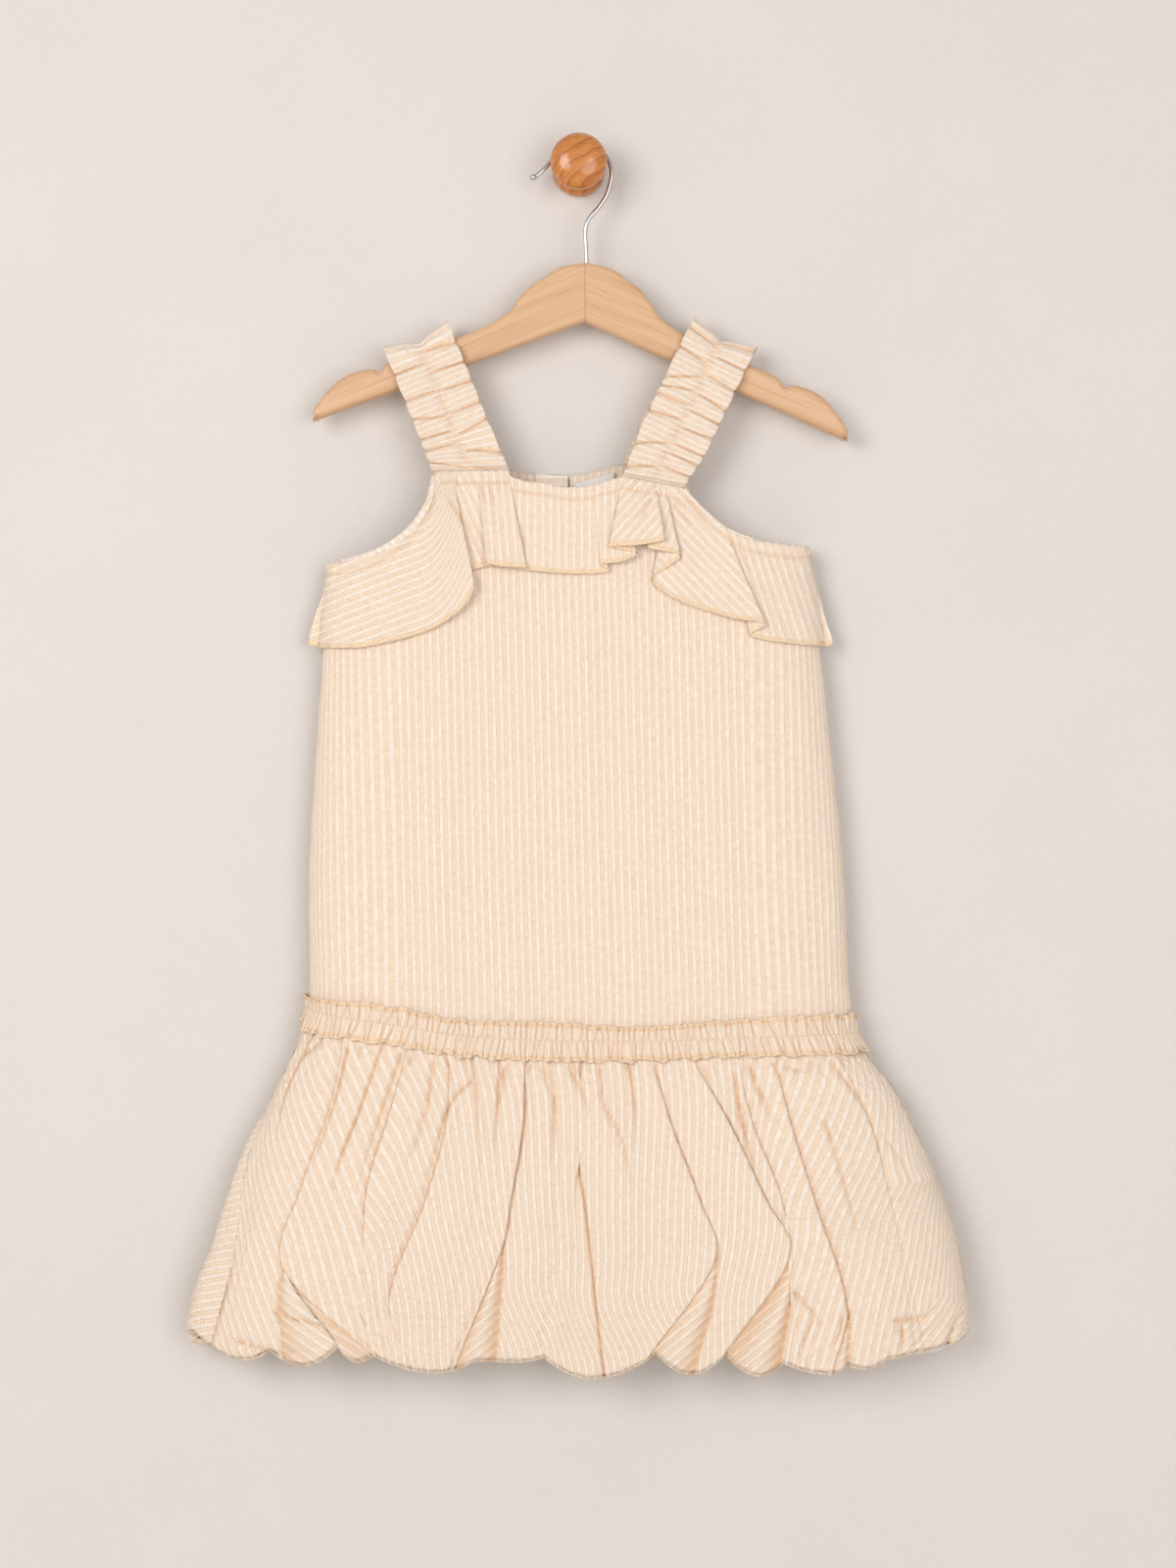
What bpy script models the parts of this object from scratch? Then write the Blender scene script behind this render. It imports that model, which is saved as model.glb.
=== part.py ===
# A child's sleeveless bubble dress in striped cotton, hung by its frilled straps on a
# flat wooden hanger, whose hook hangs on a turned wall knob.
#
# The tables are in millimetres and the meshes in metres. X runs to the right, Z up, and
# the wall is the plane Y = 0, with everything in front of it. "drop" is a distance below
# the knob's axis, "depth" a distance in front of the wall, and "lift" a distance that
# cloth stands off the dress's plain body shape.

import math

import bmesh
import bpy
import numpy as np
from mathutils import Vector

# Driving sizes
MM = 0.001
GAP = 0.3                    # between pieces that are sewn or stand together
SEAM_GAP = 1.0               # between the middle layers of front and back at a side
CLOTH = 1.3                  # wall of the gathered cotton
TRIM = 1.0                   # wall of the band, the placket and the label
SAME = 1e-9                  # keeps an end of the back off the front's end

# The plain body shape without folds, down the dress. "side" is the depth of the side
# seams, and "rounding" the width over which front and back curve in to them.
SECTIONS = (
    # drop, left, right, front, back, side, rounding
    (150, -149, 137, 26.5, 5.6, 13.0, 45),
    (235, -149, 137, 27.0, 5.4, 13.0, 45),
    (290, -154, 145, 28.5, 5.2, 13.0, 48),
    (373, -160, 154.5, 30.5, 5.2, 13.5, 52),
    (432, -163, 160, 31.5, 5.4, 14.0, 55),
    (505, -163, 164, 33.0, 6.0, 15.0, 60),
    (535, -171, 172, 35.0, 7.0, 16.0, 68),
    (560, -183, 190, 38.5, 8.2, 17.5, 80),
    (600, -201, 209, 43.0, 9.0, 19.5, 92),
    (643, -217, 225, 46.5, 9.4, 21.0, 100),
    (687, -233, 233, 48.0, 9.6, 22.0, 105),
    (730, -236, 234, 48.0, 9.6, 22.0, 105),
)

# The dropped waist seam, from the left side (turn 0) to the right side (turn 1)
WAIST = (
    # turn, drop
    (0.0, 507.0),
    (0.18, 516.6),
    (0.29, 523.2),
    (0.5, 527.0),
    (0.71, 526.0),
    (0.88, 523.7),
    (1.0, 522.5),
)

# Top edge of the front: armhole, strap seam, neck, strap seam, armhole
FRONT_TOP = (
    # x, drop
    (-149, 240.0),
    (-148.2, 240.2),
    (-146, 240.2),
    (-142.5, 239.6),
    (-136, 238.3),
    (-123, 234.3),
    (-110.6, 227.2),
    (-101, 219.3),
    (-93.3, 208.3),
    (-89, 197.0),
    (-87.5, 185.5),
    (-42.5, 185.0),
    (-40, 190.5),
    (-30, 191.5),
    (-6.3, 195.2),
    (6.3, 194.3),
    (17.7, 191.2),
    (26.5, 189.0),
    (63.2, 195.5),
    (70.3, 203.5),
    (79.7, 213.0),
    (89, 220.0),
    (98.5, 224.8),
    (111, 228.0),
    (124, 229.2),
    (131, 229.8),
    (134.5, 230.0),
    (136.3, 230.0),
    (137, 230.0),
)

# Top edge of the back, with a higher neck and slightly fuller armholes
BACK_TOP = (
    # x, drop
    (-149, 240.0),
    (-148.2, 240.0),
    (-146, 239.8),
    (-142.5, 239.0),
    (-136, 236.8),
    (-124, 231.5),
    (-112, 224.0),
    (-103.5, 216.0),
    (-96, 205.0),
    (-91, 194.0),
    (-88.5, 184.5),
    (-42.5, 182.5),
    (-28.4, 185.0),
    (-8, 186.4),
    (8, 184.2),
    (27, 179.0),
    (64, 188.0),
    (71.5, 200.0),
    (81, 210.5),
    (91, 218.0),
    (101, 223.5),
    (113, 227.0),
    (125, 229.0),
    (131, 229.6),
    (134.5, 230.0),
    (136.3, 230.0),
    (137, 230.0),
)
BODICE_COLUMN = 14           # widest column of a bodice panel
BODICE_ROWS = (0, 0.18, 0.4, 0.62, 0.82, 0.93, 1)

# Centre-back slit with its placket, button and label
SLIT_X = -6.0
SLIT_WIDTH = 1.0
SLIT_LENGTH = 60
SLIT_CUTTER = (20, -5)       # how far it reaches through the back, and its middle
PLACKET_WIDTH = 20
BUTTON_RADIUS = 5
BUTTON_THICKNESS = 2
BUTTON_DROP = 193
LABEL_CENTRE = 10
LABEL_WIDTH = 21
LABEL_HEIGHT = 14
LABEL_BELOW_EDGE = 1.5
INSIDE_GRID = (4, 3)         # columns and rows of the placket and of the label

# The frill's gathers, in order from the left side seam to the right one. Each runs
# from the top edge at seam_x down to its hem; folds lie over each other at the straps.
FRILL = (
    # seam_x, hem_x, hem_drop, seam_lift, hem_lift
    (-149, -164.0, 286.5, 1.7, 6),
    (-148.2, -163.0, 289.0, 1.7, 4),
    (-145, -157.0, 290.2, 1.7, 3.2),
    (-138, -147.5, 291.4, 1.7, 2.6),
    (-127, -134.0, 291.6, 1.7, 3.2),
    (-116, -119.5, 289.5, 1.7, 2.6),
    (-106, -106.0, 286.3, 1.7, 3.4),
    (-98, -93.0, 282.3, 1.7, 2.8),
    (-92, -80.5, 276.3, 1.7, 4.2),
    (-88, -70.5, 268.8, 1.7, 5.6),
    (-83, -64.2, 260.5, 1.8, 7.0),
    (-77, -62.2, 254.5, 2.2, 7.6),
    (-73, -73.5, 246.0, 1.8, 2.2),
    (-70, -64.5, 245.0, 1.7, 2.6),
    (-67, -53.0, 242.5, 1.7, 2.4),
    (-63.5, -45.5, 243.5, 1.7, 2.2),
    (-60, -55.0, 241.2, 2.2, 7.2),
    (-53, -44.0, 243.2, 1.9, 6.4),
    (-43, -31.5, 243.8, 1.9, 6.0),
    (-41, -38.0, 244.2, 1.7, 2.8),
    (-33, -18.0, 246.4, 1.7, 3.0),
    (-19, -4.0, 247.3, 1.7, 2.6),
    (-6, 7.0, 247.3, 1.7, 2.4),
    (6, 18.4, 245.6, 1.7, 2.2),
    (10, 13.0, 241.6, 1.7, 4.4),
    (16, 24.0, 240.5, 1.8, 5.2),
    (22, 34.8, 235.5, 1.9, 5.4),
    (27, 18.2, 231.4, 2.0, 8.2),
    (36, 34.0, 230.6, 2.2, 9.6),
    (45.5, 51.4, 227.6, 2.4, 9.8),
    (48, 41.0, 231.5, 1.8, 6.4),
    (51, 61.0, 237.0, 2.0, 5.8),
    (54, 44.0, 251.5, 1.7, 2.2),
    (58, 52.0, 259.0, 1.7, 2.8),
    (64, 63.0, 264.8, 1.7, 3.4),
    (71, 77.0, 269.6, 1.7, 3.0),
    (78.5, 92.0, 274.0, 1.7, 4.0),
    (86, 111.2, 277.8, 2.0, 6.4),
    (91, 102.5, 284.2, 1.7, 2.4),
    (98, 113.5, 287.4, 1.7, 2.8),
    (109, 125.5, 288.8, 1.7, 2.4),
    (121, 137.0, 289.8, 1.7, 2.8),
    (131, 146.5, 290.0, 2.0, 3.4),
    (136.2, 152.5, 289.4, 2.3, 4),
    (137, 153.4, 288.0, 2.4, 6),
)
FRILL_ROWS = 4
FRILL_SPLITS = 2             # columns of the grid for each gather

# Straps: their seams are the corners of the top edges. "top" is where the middle of the
# strap crosses the hanger's upper edge.
STRAPS = (
    # name, front corners' x, back corners' x, top x, top drop
    ("strap_left", (-87.5, -42.5), (-88.5, -42.5), -94.5, 112.2),
    ("strap_right", (26.5, 63.2), (27, 64), 83.5, 111.2),
)
STRAP_HALF_WIDTH = 20.5
STRAP_WAVES = 22             # gathers along the whole strap, front and back
STRAP_WAVE_HEIGHT = 1.1
STRAP_EDGE_RISE = 4.2        # how far the frilled edges stand up past the middle
STRAP_SPREAD = 30            # length over which the strap leaves its seam's slant
STRAP_COLUMNS = 4
STRAP_FADE = 3               # rows over which its gathers start at a seam
STRAP_ARC_LOW = 4.0          # below the hanger's edge, where the strap starts to bend over
STRAP_ARC_RISE = 3.0         # how far it stands over the hanger's edge

# Hanger: upper edge of one arm from the middle outwards, then its tip
HANGER_TOP = (4.7, 59.3)     # x and drop of the top of the hanger
HANGER_EDGE = (
    # across, down
    (0, 0),
    (15, 2.8),
    (25.5, 9.8),
    (31.3, 13.4),
    (41.4, 24.6),
    (44.3, 29.6),
    (57.4, 39.2),
    (78, 48.8),
    (111, 61.7),
    (118.5, 65.6),
    (122.4, 70.7),
    (126.6, 68.8),
    (136, 70.7),
    (145.5, 75.7),
    (156.7, 88),
    (161.3, 96),
    (161.3, 101.4),
)
HANGER_LOWER = 35.3          # down to the lower edge in the middle
HANGER_TILT = math.radians(2.2)
HANGER_DEPTH = 17            # depth of its middle
HANGER_THICKNESS = 12
HANGER_ROUNDING = 2.4

# Hook: a straight stem, an S bend, an arc over the knob's neck and a curled end
HOOK_WIRE = 1.3
HOOK_BALL = 1.95
HOOK_ARC_CENTRE = (0.84, -5.1)
HOOK_ARC_RADIUS = 18.9
HOOK_STEM = ((4.7, -58.9), (4.3, -48), (4.0, -38.5), (6.3, -31.8), (12.1, -25.2), (17.0, -17.3))
HOOK_END = ((-20.2, -1.4), (-23.9, -5.0), (-26.4, -6.6), (-27.4, -7.1), (-28.4, -7.5), (-29.4, -7.9))

# Knob: radius and distance from the wall, down the outer side from its front
KNOB_PROFILE = (
    # radius, depth
    (0, 39.5),
    (6, 39.1),
    (11.5, 37.6),
    (15.4, 34.9),
    (17.0, 31.2),
    (16.4, 27.2),
    (14.2, 23.6),
    (12.2, 20.4),
    (12.2, 13.6),
    (13.0, 9.8),
    (15.2, 6.4),
    (16.0, 3.8),
    (16.0, 0),
    (0, 0),
)
KNOB_STEPS = 24

# Waist band: how far its two frilled edges reach from the stitch line on the seam
BAND = (
    # turn, above, below
    (0.0, 7.5, 6.3),
    (0.05, 8.0, 12.5),
    (0.15, 10.5, 11.5),
    (0.3, 9.5, 12.0),
    (0.45, 11.0, 12.0),
    (0.6, 8.5, 11.5),
    (0.75, 11.0, 10.5),
    (0.9, 12.0, 11.5),
    (1.0, 10.7, 10.4),
)
BAND_END = 0.001             # turn left free at each side seam
BAND_WAVES = 50              # gathers across the front, and as many across the back
BAND_ROWS = (
    # share of the reach (up is negative), lift, height of the gathers
    (-1.0, 3.1, 1.0),
    (0.0, 1.9, 0.45),
    (1.0, 3.6, 1.1),
)

# Front skirt folds from left to right. A fold's edge runs through waist, quarter, half
# and corner, and swings to hem below its corner, where the layer under it shows.
# "on_top" says which layer lies over: 1 the left one, -1 the right one, 0 a plain
# crease. "fade" is where a short fold is gone, as a share of the skirt's length.
SKIRT_FOLDS = (
    # waist, quarter, half, corner_at, corner, hem, overlap, spread, lift, on_top, fade
    (-154, -176, -184, 1.0, -200, -204, 0, 4, 0.3, 0, 0.3),
    (-138, -147, -164, 0.72, -174, -143, 9, 32, 7.5, -1, 1.0),
    (-113, -130, -146, 1.0, -140, -126, 0, 4, 0.6, 0, 0.45),
    (-98, -112, -126, 1.0, -125, -112, 3, 5, 4.6, -1, 0.6),
    (-78, -78, -91, 1.0, -112, -98, 8, 8, 7.5, -1, 0.85),
    (-66, -60, -66, 1.0, -80, -88, 0, 4, 0.6, 0, 0.25),
    (-47, -49, -54, 1.0, -66, -80, 0, 4, 0.6, 0, 0.3),
    (-33, -33.5, -41, 0.62, -45, -74, 9, 24, 8.0, 1, 1.0),
    (-19, -14, -18, 1.0, -20, -32, 0, 4, 0.6, 0, 0.3),
    (-5, 2, -6, 1.0, -8, -16, 0, 4, 0.6, 0, 0.3),
    (12, 14, 5, 1.0, 10, 14, 0, 6, 0.4, 0, 1.0),
    (28, 34, 30, 1.0, 30, 26, 0, 4, 0.6, 0, 0.25),
    (41, 54, 71.5, 0.68, 81, 41, 9, 27, 8.5, 1, 1.0),
    (61, 88, 110, 0.68, 125, 87, 9, 32, 8.5, 1, 1.0),
    (92, 103, 121, 1.0, 128, 131, 3, 5, 4.6, 1, 0.5),
    (114, 125.5, 140.5, 0.81, 158, 150, 8, 10, 8.0, 1, 1.0),
    (134, 146, 158, 1.0, 166, 172, 0, 4, 0.4, 0, 0.8),
    (148, 171, 184, 1.0, 194, 200, 3, 6, 4.2, 1, 0.45),
)

# Left seam of the skirt, which shows from the front
SKIRT_SEAM = (
    # share of the length, x
    (0.0, -163.6),
    (0.25, -184.0),
    (0.5, -198.0),
    (0.75, -206.0),
    (0.9, -213.5),
    (1.0, -219.5),
)

# Lower edge of the bubble, with a lobe under each fold
FRONT_HEM = (
    # x, drop
    (-220, 708.0),
    (-199, 714.6),
    (-183.4, 707.7),
    (-163.7, 717.0),
    (-142.8, 704.8),
    (-131, 714.6),
    (-121.4, 710.6),
    (-84.9, 721.0),
    (-62, 713.6),
    (-36.7, 714.6),
    (-20.5, 711.7),
    (8.5, 724.5),
    (46, 708.8),
    (67.6, 722.0),
    (86.7, 709.4),
    (108, 722.8),
    (121.5, 715.0),
    (149.3, 722.0),
    (159.2, 716.0),
    (170, 719.3),
    (183, 713.5),
    (198.6, 710.6),
    (216.6, 707.0),
    (233, 702.0),
)
BACK_HEM = (
    # share of the back from the right seam to the left seam, drop
    (0.0, 702.0),
    (0.08, 709.0),
    (0.5, 715.0),
    (0.88, 708.0),
    (0.955, 690.0),
    (1.0, 708.0),
)

# Back skirt: soft gathers with their places from the right seam to the left seam
BACK_FOLDS = (
    # share, lift
    (0.05, 0.5),
    (0.115, 0.2),
    (0.19, 0.6),
    (0.25, 0.2),
    (0.33, 0.0),
    (0.41, 0.5),
    (0.475, 0.1),
    (0.56, 0.0),
    (0.63, 0.5),
    (0.72, 0.2),
    (0.79, 0.0),
    (0.86, 0.4),
    (0.92, 0.5),
)
SKIRT_TOP = 525              # drop of the waist seam in the middle
SKIRT_LENGTH = 190
PAST_RIGHT = 400             # any x past the right side, which is brought back to it
FRONT_ROWS = (0, 0.06, 0.14, 0.25, 0.4, 0.55, 0.68, 0.81, 0.92, 1)
BACK_ROWS = (0, 0.06, 0.14, 0.3, 0.5, 0.75, 0.92, 1)
SKIRT_SPLITS = 2             # columns of the grid between two ribs
SEAM_LIFT = 1.0              # lift of the side seams, reached by this share of the length
SEAM_LIFT_BY = 0.2
SEAM_APART = 0.0025          # turn between front and back skirt at a side seam
HEM_TURN = (
    # lift, drop: the hem rolls under to the inside
    (-1.6, 1.5),
    (-4.0, -1.0),
)
LAST_CORNER = 0.8            # share of the length where an edge must have its corner
START_APART = 2.6            # between a fold's edge and tuck at the waist seam
TUCK_LIFT = 0.8
CREST_LIFT = ((0, 0), (0.06, 0.2), (0.14, 2.2), (0.4, 3.4), (0.8, 3.2), (1, 2.6))
BACK_CREST = 2.6

# Lining: how far it hangs inside the skirt, and its lower edge
LINING_LIFT = (
    # share of the length, lift
    (0.0, -2.2),
    (0.06, -3.4),
    (0.14, -4.6),
    (0.3, -6.0),
    (0.55, -6.5),
    (0.8, -6.2),
    (1.0, -5.6),
)
LINING_EDGE = (
    # turn, drop
    (0.0, 684.0),
    (0.08, 700.0),
    (0.3, 708.0),
    (0.6, 710.0),
    (0.8, 713.0),
    (0.87, 716.0),
    (0.93, 713.5),
    (1.0, 697.0),
)
LINING_COLUMNS = 36


def clear_scene():
    for item in list(bpy.data.objects):
        bpy.data.objects.remove(item, do_unlink=True)


def new_collection(name):
    collection = bpy.data.collections.new(name)
    bpy.context.scene.collection.children.link(collection)
    return collection


def finish_material(name, colour, roughness, metallic=0.0):
    material = bpy.data.materials.new(name)
    material.use_nodes = True
    shader = material.node_tree.nodes["Principled BSDF"]
    shader.inputs["Base Color"].default_value = (*colour, 1)
    shader.inputs["Roughness"].default_value = roughness
    shader.inputs["Metallic"].default_value = metallic
    return material


def read_row(table, at):
    """The columns of a table beside `at`, on smooth curves through its rows."""
    last = len(table) - 1
    low = min(max(sum(row[0] <= at for row in table) - 1, 0), last - 1)
    before, start, end, after = (table[i] for i in (max(low - 1, 0), low, low + 1, min(low + 2, last)))
    span = end[0] - start[0]
    share = min(max((at - start[0]) / span, 0), 1)
    values = []
    for column in range(1, len(start)):
        leave = (end[column] - before[column]) / (end[0] - before[0]) * span
        arrive = (after[column] - start[column]) / (after[0] - start[0]) * span
        rise = end[column] - start[column]
        bend = share * (1 - share)
        values.append(start[column] + rise * share
                      + bend * ((leave - rise) * (1 - share) + (rise - arrive) * share))
    return values


def read_edge(table, at):
    """The second column of a table beside `at`, on straight lines between its rows."""
    return float(np.interp(at, [row[0] for row in table], [row[1] for row in table]))


def smooth_step(value):
    share = min(max(value, 0), 1)
    return share * share * (3 - 2 * share)


def side_bend(depth, rounding):
    """Length of the curve from the flat of a panel to the side seam."""
    return math.pi / 2 * math.sqrt((depth ** 2 + rounding ** 2) / 2)


def dress_point(turn, drop, lift=0.0):
    """A point on the dress. Turn 0 is the left side, 0.5 the middle of the front, 1 the
    right side, 1.5 the middle of the back and 2 the left side again."""
    left, right, front, back, side, rounding = read_row(SECTIONS, drop)
    turn %= 2
    at_front = turn <= 1
    along = turn if at_front else 2 - turn
    depth = front - side if at_front else side - back
    face = 1 if at_front else -1
    flat = (right - left) / 2 - rounding
    bend = side_bend(depth, rounding)
    reach = abs(along - 0.5) * 2 * (flat + bend)
    angle = max(reach - flat, 0) / bend * math.pi / 2
    hand = 1 if along > 0.5 else -1
    across = min(reach, flat) + rounding * math.sin(angle)
    normal = Vector((hand * depth * math.sin(angle), -face * rounding * math.cos(angle), 0)).normalized()
    middle = (left + right) / 2
    point = Vector((middle + hand * across, -side - face * depth * math.cos(angle), -drop))
    seam = Vector((0, -face * SEAM_GAP / 2, 0))
    return (point + normal * lift + seam) * MM


def turn_at(x, drop):
    """The turn of the front's point at x."""
    left, right, front, _, side, rounding = read_row(SECTIONS, drop)
    flat = (right - left) / 2 - rounding
    bend = side_bend(front - side, rounding)
    offset = x - (left + right) / 2
    reach = min(abs(offset), flat)
    beyond = min(max(abs(offset) - flat, 0) / rounding, 1)
    reach += bend * math.asin(beyond) / (math.pi / 2)
    return 0.5 + math.copysign(reach / (2 * (flat + bend)), offset)


def side_excess(x, drop):
    """How far x lies outside the body shape."""
    left, right = read_row(SECTIONS, drop)[:2]
    return max(left - x, x - right, 0)


def waist_drop(turn):
    along = turn % 2
    return read_row(WAIST, along if along <= 1 else 2 - along)[0]


def between_ribs(ribs, column, splits):
    """Values at a grid column between ribs, on a smooth curve through them."""
    last = len(ribs) - 1
    low = min(column // splits, last - 1)
    share = (column - low * splits) / splits
    before, start, end, after = (ribs[i] for i in (max(low - 1, 0), low, low + 1, min(low + 2, last)))
    values = []
    for b, s, e, a in zip(before, start, end, after):
        leave = (e - b) / 2
        arrive = (a - s) / 2
        bend = share * (1 - share)
        values.append(s + (e - s) * share + bend * ((leave - e + s) * (1 - share) + (e - s - arrive) * share))
    return values


def cloth_sheet(name, collection, material, columns, rows, place, wall=CLOTH, ring=False):
    """A flat grid whose points are laid in their places, then given the cloth's wall."""
    grid = bmesh.new()
    bmesh.ops.create_grid(grid, x_segments=columns, y_segments=rows, size=1)
    for vert in grid.verts:
        column = round((vert.co.x + 1) / 2 * columns)
        row = round((vert.co.y + 1) / 2 * rows)
        vert.co = place(column, row)
    if ring:
        bmesh.ops.remove_doubles(grid, verts=grid.verts, dist=1e-7)
    mesh = bpy.data.meshes.new(name)
    grid.to_mesh(mesh)
    grid.free()
    mesh.shade_smooth()
    mesh.materials.append(material)
    piece = bpy.data.objects.new(name, mesh)
    collection.objects.link(piece)
    solidify = piece.modifiers.new("wall", "SOLIDIFY")
    solidify.thickness = wall * MM
    solidify.offset = 0
    return piece


def panel_columns(top):
    """The x of each column of a bodice panel, with every corner of its top edge."""
    places = [top[0][0]]
    for start, end in zip(top, top[1:]):
        count = math.ceil((end[0] - start[0]) / BODICE_COLUMN)
        places += [start[0] + (end[0] - start[0]) * i / count for i in range(1, count + 1)]
    return places


def bodice_panel(name, collection, material, top, back=False):
    places = panel_columns(top)
    turns = [turn_at(x, read_edge(top, x)) for x in places]

    def place(column, row):
        turn = 2 - turns[column] if back else turns[column]
        if back:
            turn = min(max(turn, 1 + SAME), 2 - SAME)
        upper = read_edge(top, places[column])
        drop = upper + (waist_drop(turns[column]) - upper) * BODICE_ROWS[row]
        return dress_point(turn, drop)

    return cloth_sheet(name, collection, material, len(places) - 1, len(BODICE_ROWS) - 1, place)


def cut_slit(piece, cutters):
    """The centre-back opening, cut down from the neck edge."""
    bpy.ops.mesh.primitive_cube_add(size=1)
    cutter = bpy.context.active_object
    cutter.name = "slit_cutter"
    top = read_edge(BACK_TOP, SLIT_X)
    through, middle = SLIT_CUTTER
    cutter.scale = (SLIT_WIDTH * MM, through * MM, 2 * SLIT_LENGTH * MM)
    cutter.location = (SLIT_X * MM, middle * MM, -top * MM)
    cutter.hide_render = True
    cutter.display_type = "WIRE"
    for owner in list(cutter.users_collection):
        owner.objects.unlink(cutter)
    cutters.objects.link(cutter)
    cut = piece.modifiers.new("slit", "BOOLEAN")
    cut.operation = "DIFFERENCE"
    cut.object = cutter


def inside_back(name, collection, material, left, right, length, below_edge=0.0):
    """A small piece laid on the inside of the back, from its own points moved in."""
    columns, rows = INSIDE_GRID

    def place(column, row):
        x = left + (right - left) * column / columns
        drop = read_edge(BACK_TOP, x) + below_edge + length * row / rows
        turn = 2 - turn_at(x, drop)
        return dress_point(turn, drop, -(CLOTH / 2 + GAP + TRIM / 2))

    return cloth_sheet(name, collection, material, columns, rows, place, TRIM)


def back_button(collection, material):
    bpy.ops.mesh.primitive_cylinder_add(vertices=20, radius=BUTTON_RADIUS * MM, depth=BUTTON_THICKNESS * MM)
    button = bpy.context.active_object
    button.name = "back_button"
    x = SLIT_X - SLIT_WIDTH - BUTTON_RADIUS
    seat = dress_point(2 - turn_at(x, BUTTON_DROP), BUTTON_DROP, CLOTH / 2 + GAP + BUTTON_THICKNESS / 2)
    button.location = seat
    button.rotation_euler = (math.radians(90), 0, 0)
    button.data.materials.append(material)
    bevel = button.modifiers.new("rim", "BEVEL")
    bevel.width = 0.6 * MM
    bevel.segments = 1
    for owner in list(button.users_collection):
        owner.objects.unlink(button)
    collection.objects.link(button)
    return button


def frill_ribs(share):
    """Turn, drop and lift of each gather of the frill at a share of its length."""
    ribs = []
    ease = math.sin(share * math.pi / 2)
    for seam_x, hem_x, hem_drop, seam_lift, hem_lift in FRILL:
        seam_drop = read_edge(FRONT_TOP, seam_x)
        x = seam_x + (hem_x - seam_x) * share
        drop = seam_drop + (hem_drop - seam_drop) * share
        lift = seam_lift + (hem_lift - seam_lift) * ease
        ribs.append((turn_at(x, drop), drop, max(lift, side_excess(x, drop))))
    return ribs


def top_frill(collection, material):
    rows = [frill_ribs(row / FRILL_ROWS) for row in range(FRILL_ROWS + 1)]

    def place(column, row):
        return dress_point(*between_ribs(rows[row], column, FRILL_SPLITS))

    columns = (len(FRILL) - 1) * FRILL_SPLITS
    return cloth_sheet("top_ruffle", collection, material, columns, FRILL_ROWS, place)


def strap(name, front_corners, back_corners, top_x, top_drop, collection, material):
    """A wide strap up the front, over the hanger's arm and down the back, gathered
    along its middle so that both edges frill."""
    front_ends = [Vector((x, read_edge(FRONT_TOP, x))) for x in front_corners]
    back_ends = [Vector((x, read_edge(BACK_TOP, x))) for x in back_corners]
    crossing = Vector((top_x, top_drop))
    face = HANGER_DEPTH + HANGER_THICKNESS / 2 + GAP + CLOTH / 2 + STRAP_WAVE_HEIGHT
    rear = 2 * HANGER_DEPTH - face
    arc_high = GAP + CLOTH / 2 + STRAP_WAVE_HEIGHT + STRAP_ARC_RISE
    steps = STRAP_WAVES * 2

    def run_from(ends):
        middle = (ends[0] + ends[1]) / 2
        return middle, (crossing - middle).length - STRAP_ARC_LOW, (crossing - middle).normalized()

    front_run = run_from(front_ends)
    back_run = run_from(back_ends)
    arc_length = math.pi * (face - HANGER_DEPTH)
    total = front_run[1] + arc_length + back_run[1]

    def up_strap(run, ends, distance, across, depth, rise=0.0):
        """A point on one run, `distance` above its seam."""
        middle, _, upward = run
        wide = Vector((-upward.y, upward.x))
        straight = middle + upward * (distance + rise) + wide * STRAP_HALF_WIDTH * across
        at_seam = ends[0] + (ends[1] - ends[0]) * (across + 1) / 2 + upward * distance
        blend = smooth_step(distance / STRAP_SPREAD)
        flat = at_seam + (straight - at_seam) * blend
        return Vector((flat.x, -depth, -flat.y))

    def place(column, row):
        across = column / STRAP_COLUMNS * 2 - 1
        travelled = total * row / steps
        fade = smooth_step(min(row, steps - row) / STRAP_FADE)
        side = 1 if across < 0 else -1
        wave = (-1) ** row * side * STRAP_WAVE_HEIGHT * (0.35 + 0.65 * abs(across)) * fade
        if travelled <= front_run[1]:
            share = travelled / front_run[1]
            seam_depth = read_row(SECTIONS, front_ends[0].y)[2]
            depth = seam_depth + (face - seam_depth) * share + wave
            return (up_strap(front_run, front_ends, travelled, across, depth) + Vector((0, 0, GAP))) * MM
        if travelled >= total - back_run[1]:
            distance = total - travelled
            seam_depth = read_row(SECTIONS, back_ends[0].y)[3]
            depth = seam_depth + (rear - seam_depth) * distance / back_run[1] - wave
            return (up_strap(back_run, back_ends, distance, across, depth) + Vector((0, 0, GAP))) * MM
        angle = (travelled - front_run[1]) / arc_length * math.pi
        height = (STRAP_ARC_LOW + arc_high + STRAP_EDGE_RISE * abs(across) + wave) * math.sin(angle)
        depth = HANGER_DEPTH + (face - HANGER_DEPTH + wave) * math.cos(angle)
        turn_share = smooth_step(angle / math.pi)
        start = up_strap(front_run, front_ends, front_run[1], across, depth, height)
        end = up_strap(back_run, back_ends, back_run[1], across, depth, height)
        return (start + (end - start) * turn_share + Vector((0, 0, GAP))) * MM

    return cloth_sheet(name, collection, material, STRAP_COLUMNS, steps, place)


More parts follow.
